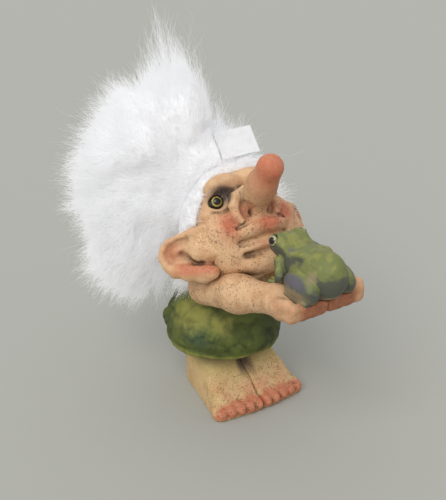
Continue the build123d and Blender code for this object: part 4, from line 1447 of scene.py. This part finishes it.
class TROLL_OT_eyes(bpy.types.Operator):
    """Set the glass eyes of the troll and the frog"""
    bl_idname = "troll.eyes"
    bl_label = "Glass eyes"

    def execute(self, context):
        gold = eye_material("gold_glass_eye", GOLD, 0.50, 0.70)
        cream = eye_material("cream_glass_eye", CREAM, 0.62, 0.88)
        for side, name in ((-1, "right_eye"), (1, "left_eye")):
            place = SKULL + np.array((side * EYE[0], EYE[1], EYE[2])) @ FACE
            way = np.array((side * 0.30, 0.02, 0.95)) @ FACE
            glass_eye(name + "_glass", place, way, EYE_RADIUS, gold, name)
        for side, name in ((-1, "frog_left_eye"), (1, "frog_right_eye")):
            place = np.array((side * FROG_EYE[0], FROG_EYE[1], FROG_EYE[2]))
            way = (side * 0.93, -0.18, 0.32)
            glass_eye(name + "_glass", place, way, FROG_EYE_RADIUS, cream, name)
        return {"FINISHED"}


class TROLL_OT_card(bpy.types.Operator):
    """Finish the card tag, the wig's backing and the torso"""
    bl_idname = "troll.card"
    bl_label = "Card tag and hidden pieces"

    def execute(self, context):
        card, cloth = card_material(), cloth_material()
        finishes = {"tag_back_leaf": card, "tag_front_leaf": card, "wig_backing": cloth,
                    "torso_core": bpy.data.materials["painted_tunic"]}
        for node, material in finishes.items():
            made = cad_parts[node]
            made.data.materials.clear()
            made.data.materials.append(material)
        return {"FINISHED"}


# The stage

FLOOR_REACH = 2500.0
SKY_TINT = (0.95, 0.97, 1.0, 1.0)


def lamp(name, place, spread, power, tint=(1, 1, 1)):
    """A soft far lamp that shines from a place towards the figure."""
    light = bpy.data.lights.new(name, "SUN")
    light.angle = radians(spread)
    light.energy = power
    light.color = tint
    made = bpy.data.objects.new(name, light)
    made.location = Vector(place) * MM
    made.rotation_euler = (-Vector(place)).to_track_quat("-Z", "Y").to_euler()
    bpy.context.scene.collection.objects.link(made)


def floor_material():
    """Plain pale grey."""
    material, board, shader = new_material("pale_floor")
    finish_shader(board, shader, Base_Color=tone("troll_stage", "floor") + (1.0,), Roughness=0.9,
                  Specular_IOR_Level=0.1)
    return material


class TROLL_OT_stage(bpy.types.Operator):
    """Set up the floor, the lamps and the camera"""
    bl_idname = "troll.stage"
    bl_label = "Stage"

    def execute(self, context):
        scene = context.scene
        chosen = setting("troll_stage")
        corners = np.array([(-1, -1, 0), (1, -1, 0), (1, 1, 0), (-1, 1, 0)]) * FLOOR_REACH
        floor = build_mesh("floor", corners, [(0, 1, 2, 3)], smooth=False)
        floor.data.materials.append(floor_material())
        world = bpy.data.worlds.new("studio")
        world.use_nodes = True
        sky = world.node_tree.nodes["Background"]
        sky.inputs["Color"].default_value = SKY_TINT
        sky.inputs["Strength"].default_value = chosen.sky
        scene.world = world
        lamp("key_lamp", (-480, -280, 600), 40, chosen.key, (1.0, 0.985, 0.96))
        lamp("back_lamp", (250, 500, 500), 60, chosen.fill)
        turn, height = chosen.azimuth, chosen.elevation
        aim = Vector((0, 0, chosen.target_height * MM))
        away = Vector((sin(turn) * cos(height), -cos(turn) * cos(height), sin(height)))
        camera = bpy.data.objects.new("camera", bpy.data.cameras.new("camera"))
        camera.data.lens = chosen.lens
        camera.location = aim + away * chosen.distance * MM
        camera.rotation_euler = (-away).to_track_quat("-Z", "Y").to_euler()
        scene.collection.objects.link(camera)
        scene.camera = camera
        scene.view_settings.view_transform = "Standard"
        return {"FINISHED"}


class TROLL_PT_panel(bpy.types.Panel):
    """Lists the operators and settings"""
    bl_idname = "TROLL_PT_panel"
    bl_label = "Troll figure"
    bl_space_type = "VIEW_3D"
    bl_region_type = "UI"
    bl_category = "Troll"

    def draw(self, context):
        for operator in OPERATORS:
            self.layout.operator(operator.bl_idname)
        for name, kind in SETTINGS.items():
            box = self.layout.box()
            for field in kind.__annotations__:
                box.prop(getattr(context.scene, name), field)


OPERATORS = (TROLL_OT_stage, TROLL_OT_head, TROLL_OT_ears, TROLL_OT_frog, TROLL_OT_arms, TROLL_OT_legs,
             TROLL_OT_tunic, TROLL_OT_eyes, TROLL_OT_card, TROLL_OT_wig, TROLL_OT_short_fur)
CLASSES = tuple(SETTINGS.values()) + OPERATORS + (TROLL_PT_panel,)


def register():
    """Register the classes and put the settings on the scene."""
    for kind in CLASSES:
        bpy.utils.register_class(kind)
    for name, kind in SETTINGS.items():
        setattr(bpy.types.Scene, name, bpy.props.PointerProperty(type=kind))


def unregister():
    """Take the settings and classes away again."""
    for name in SETTINGS:
        delattr(bpy.types.Scene, name)
    for kind in reversed(CLASSES):
        bpy.utils.unregister_class(kind)


def main():
    """Build the whole figure."""
    register()
    skin_material()
    tunic_material()
    frog_material()
    fur_material("white_fur", glow=HAIR_GLOW)
    # The core's fur is a darker copy: painted shade under the strands.
    fur_material("fur_core", CORE_SHADE_DIM)
    for operator in OPERATORS:
        group, name = operator.bl_idname.split(".")
        getattr(getattr(bpy.ops, group), name)()


if __name__ == "__main__":
    main()
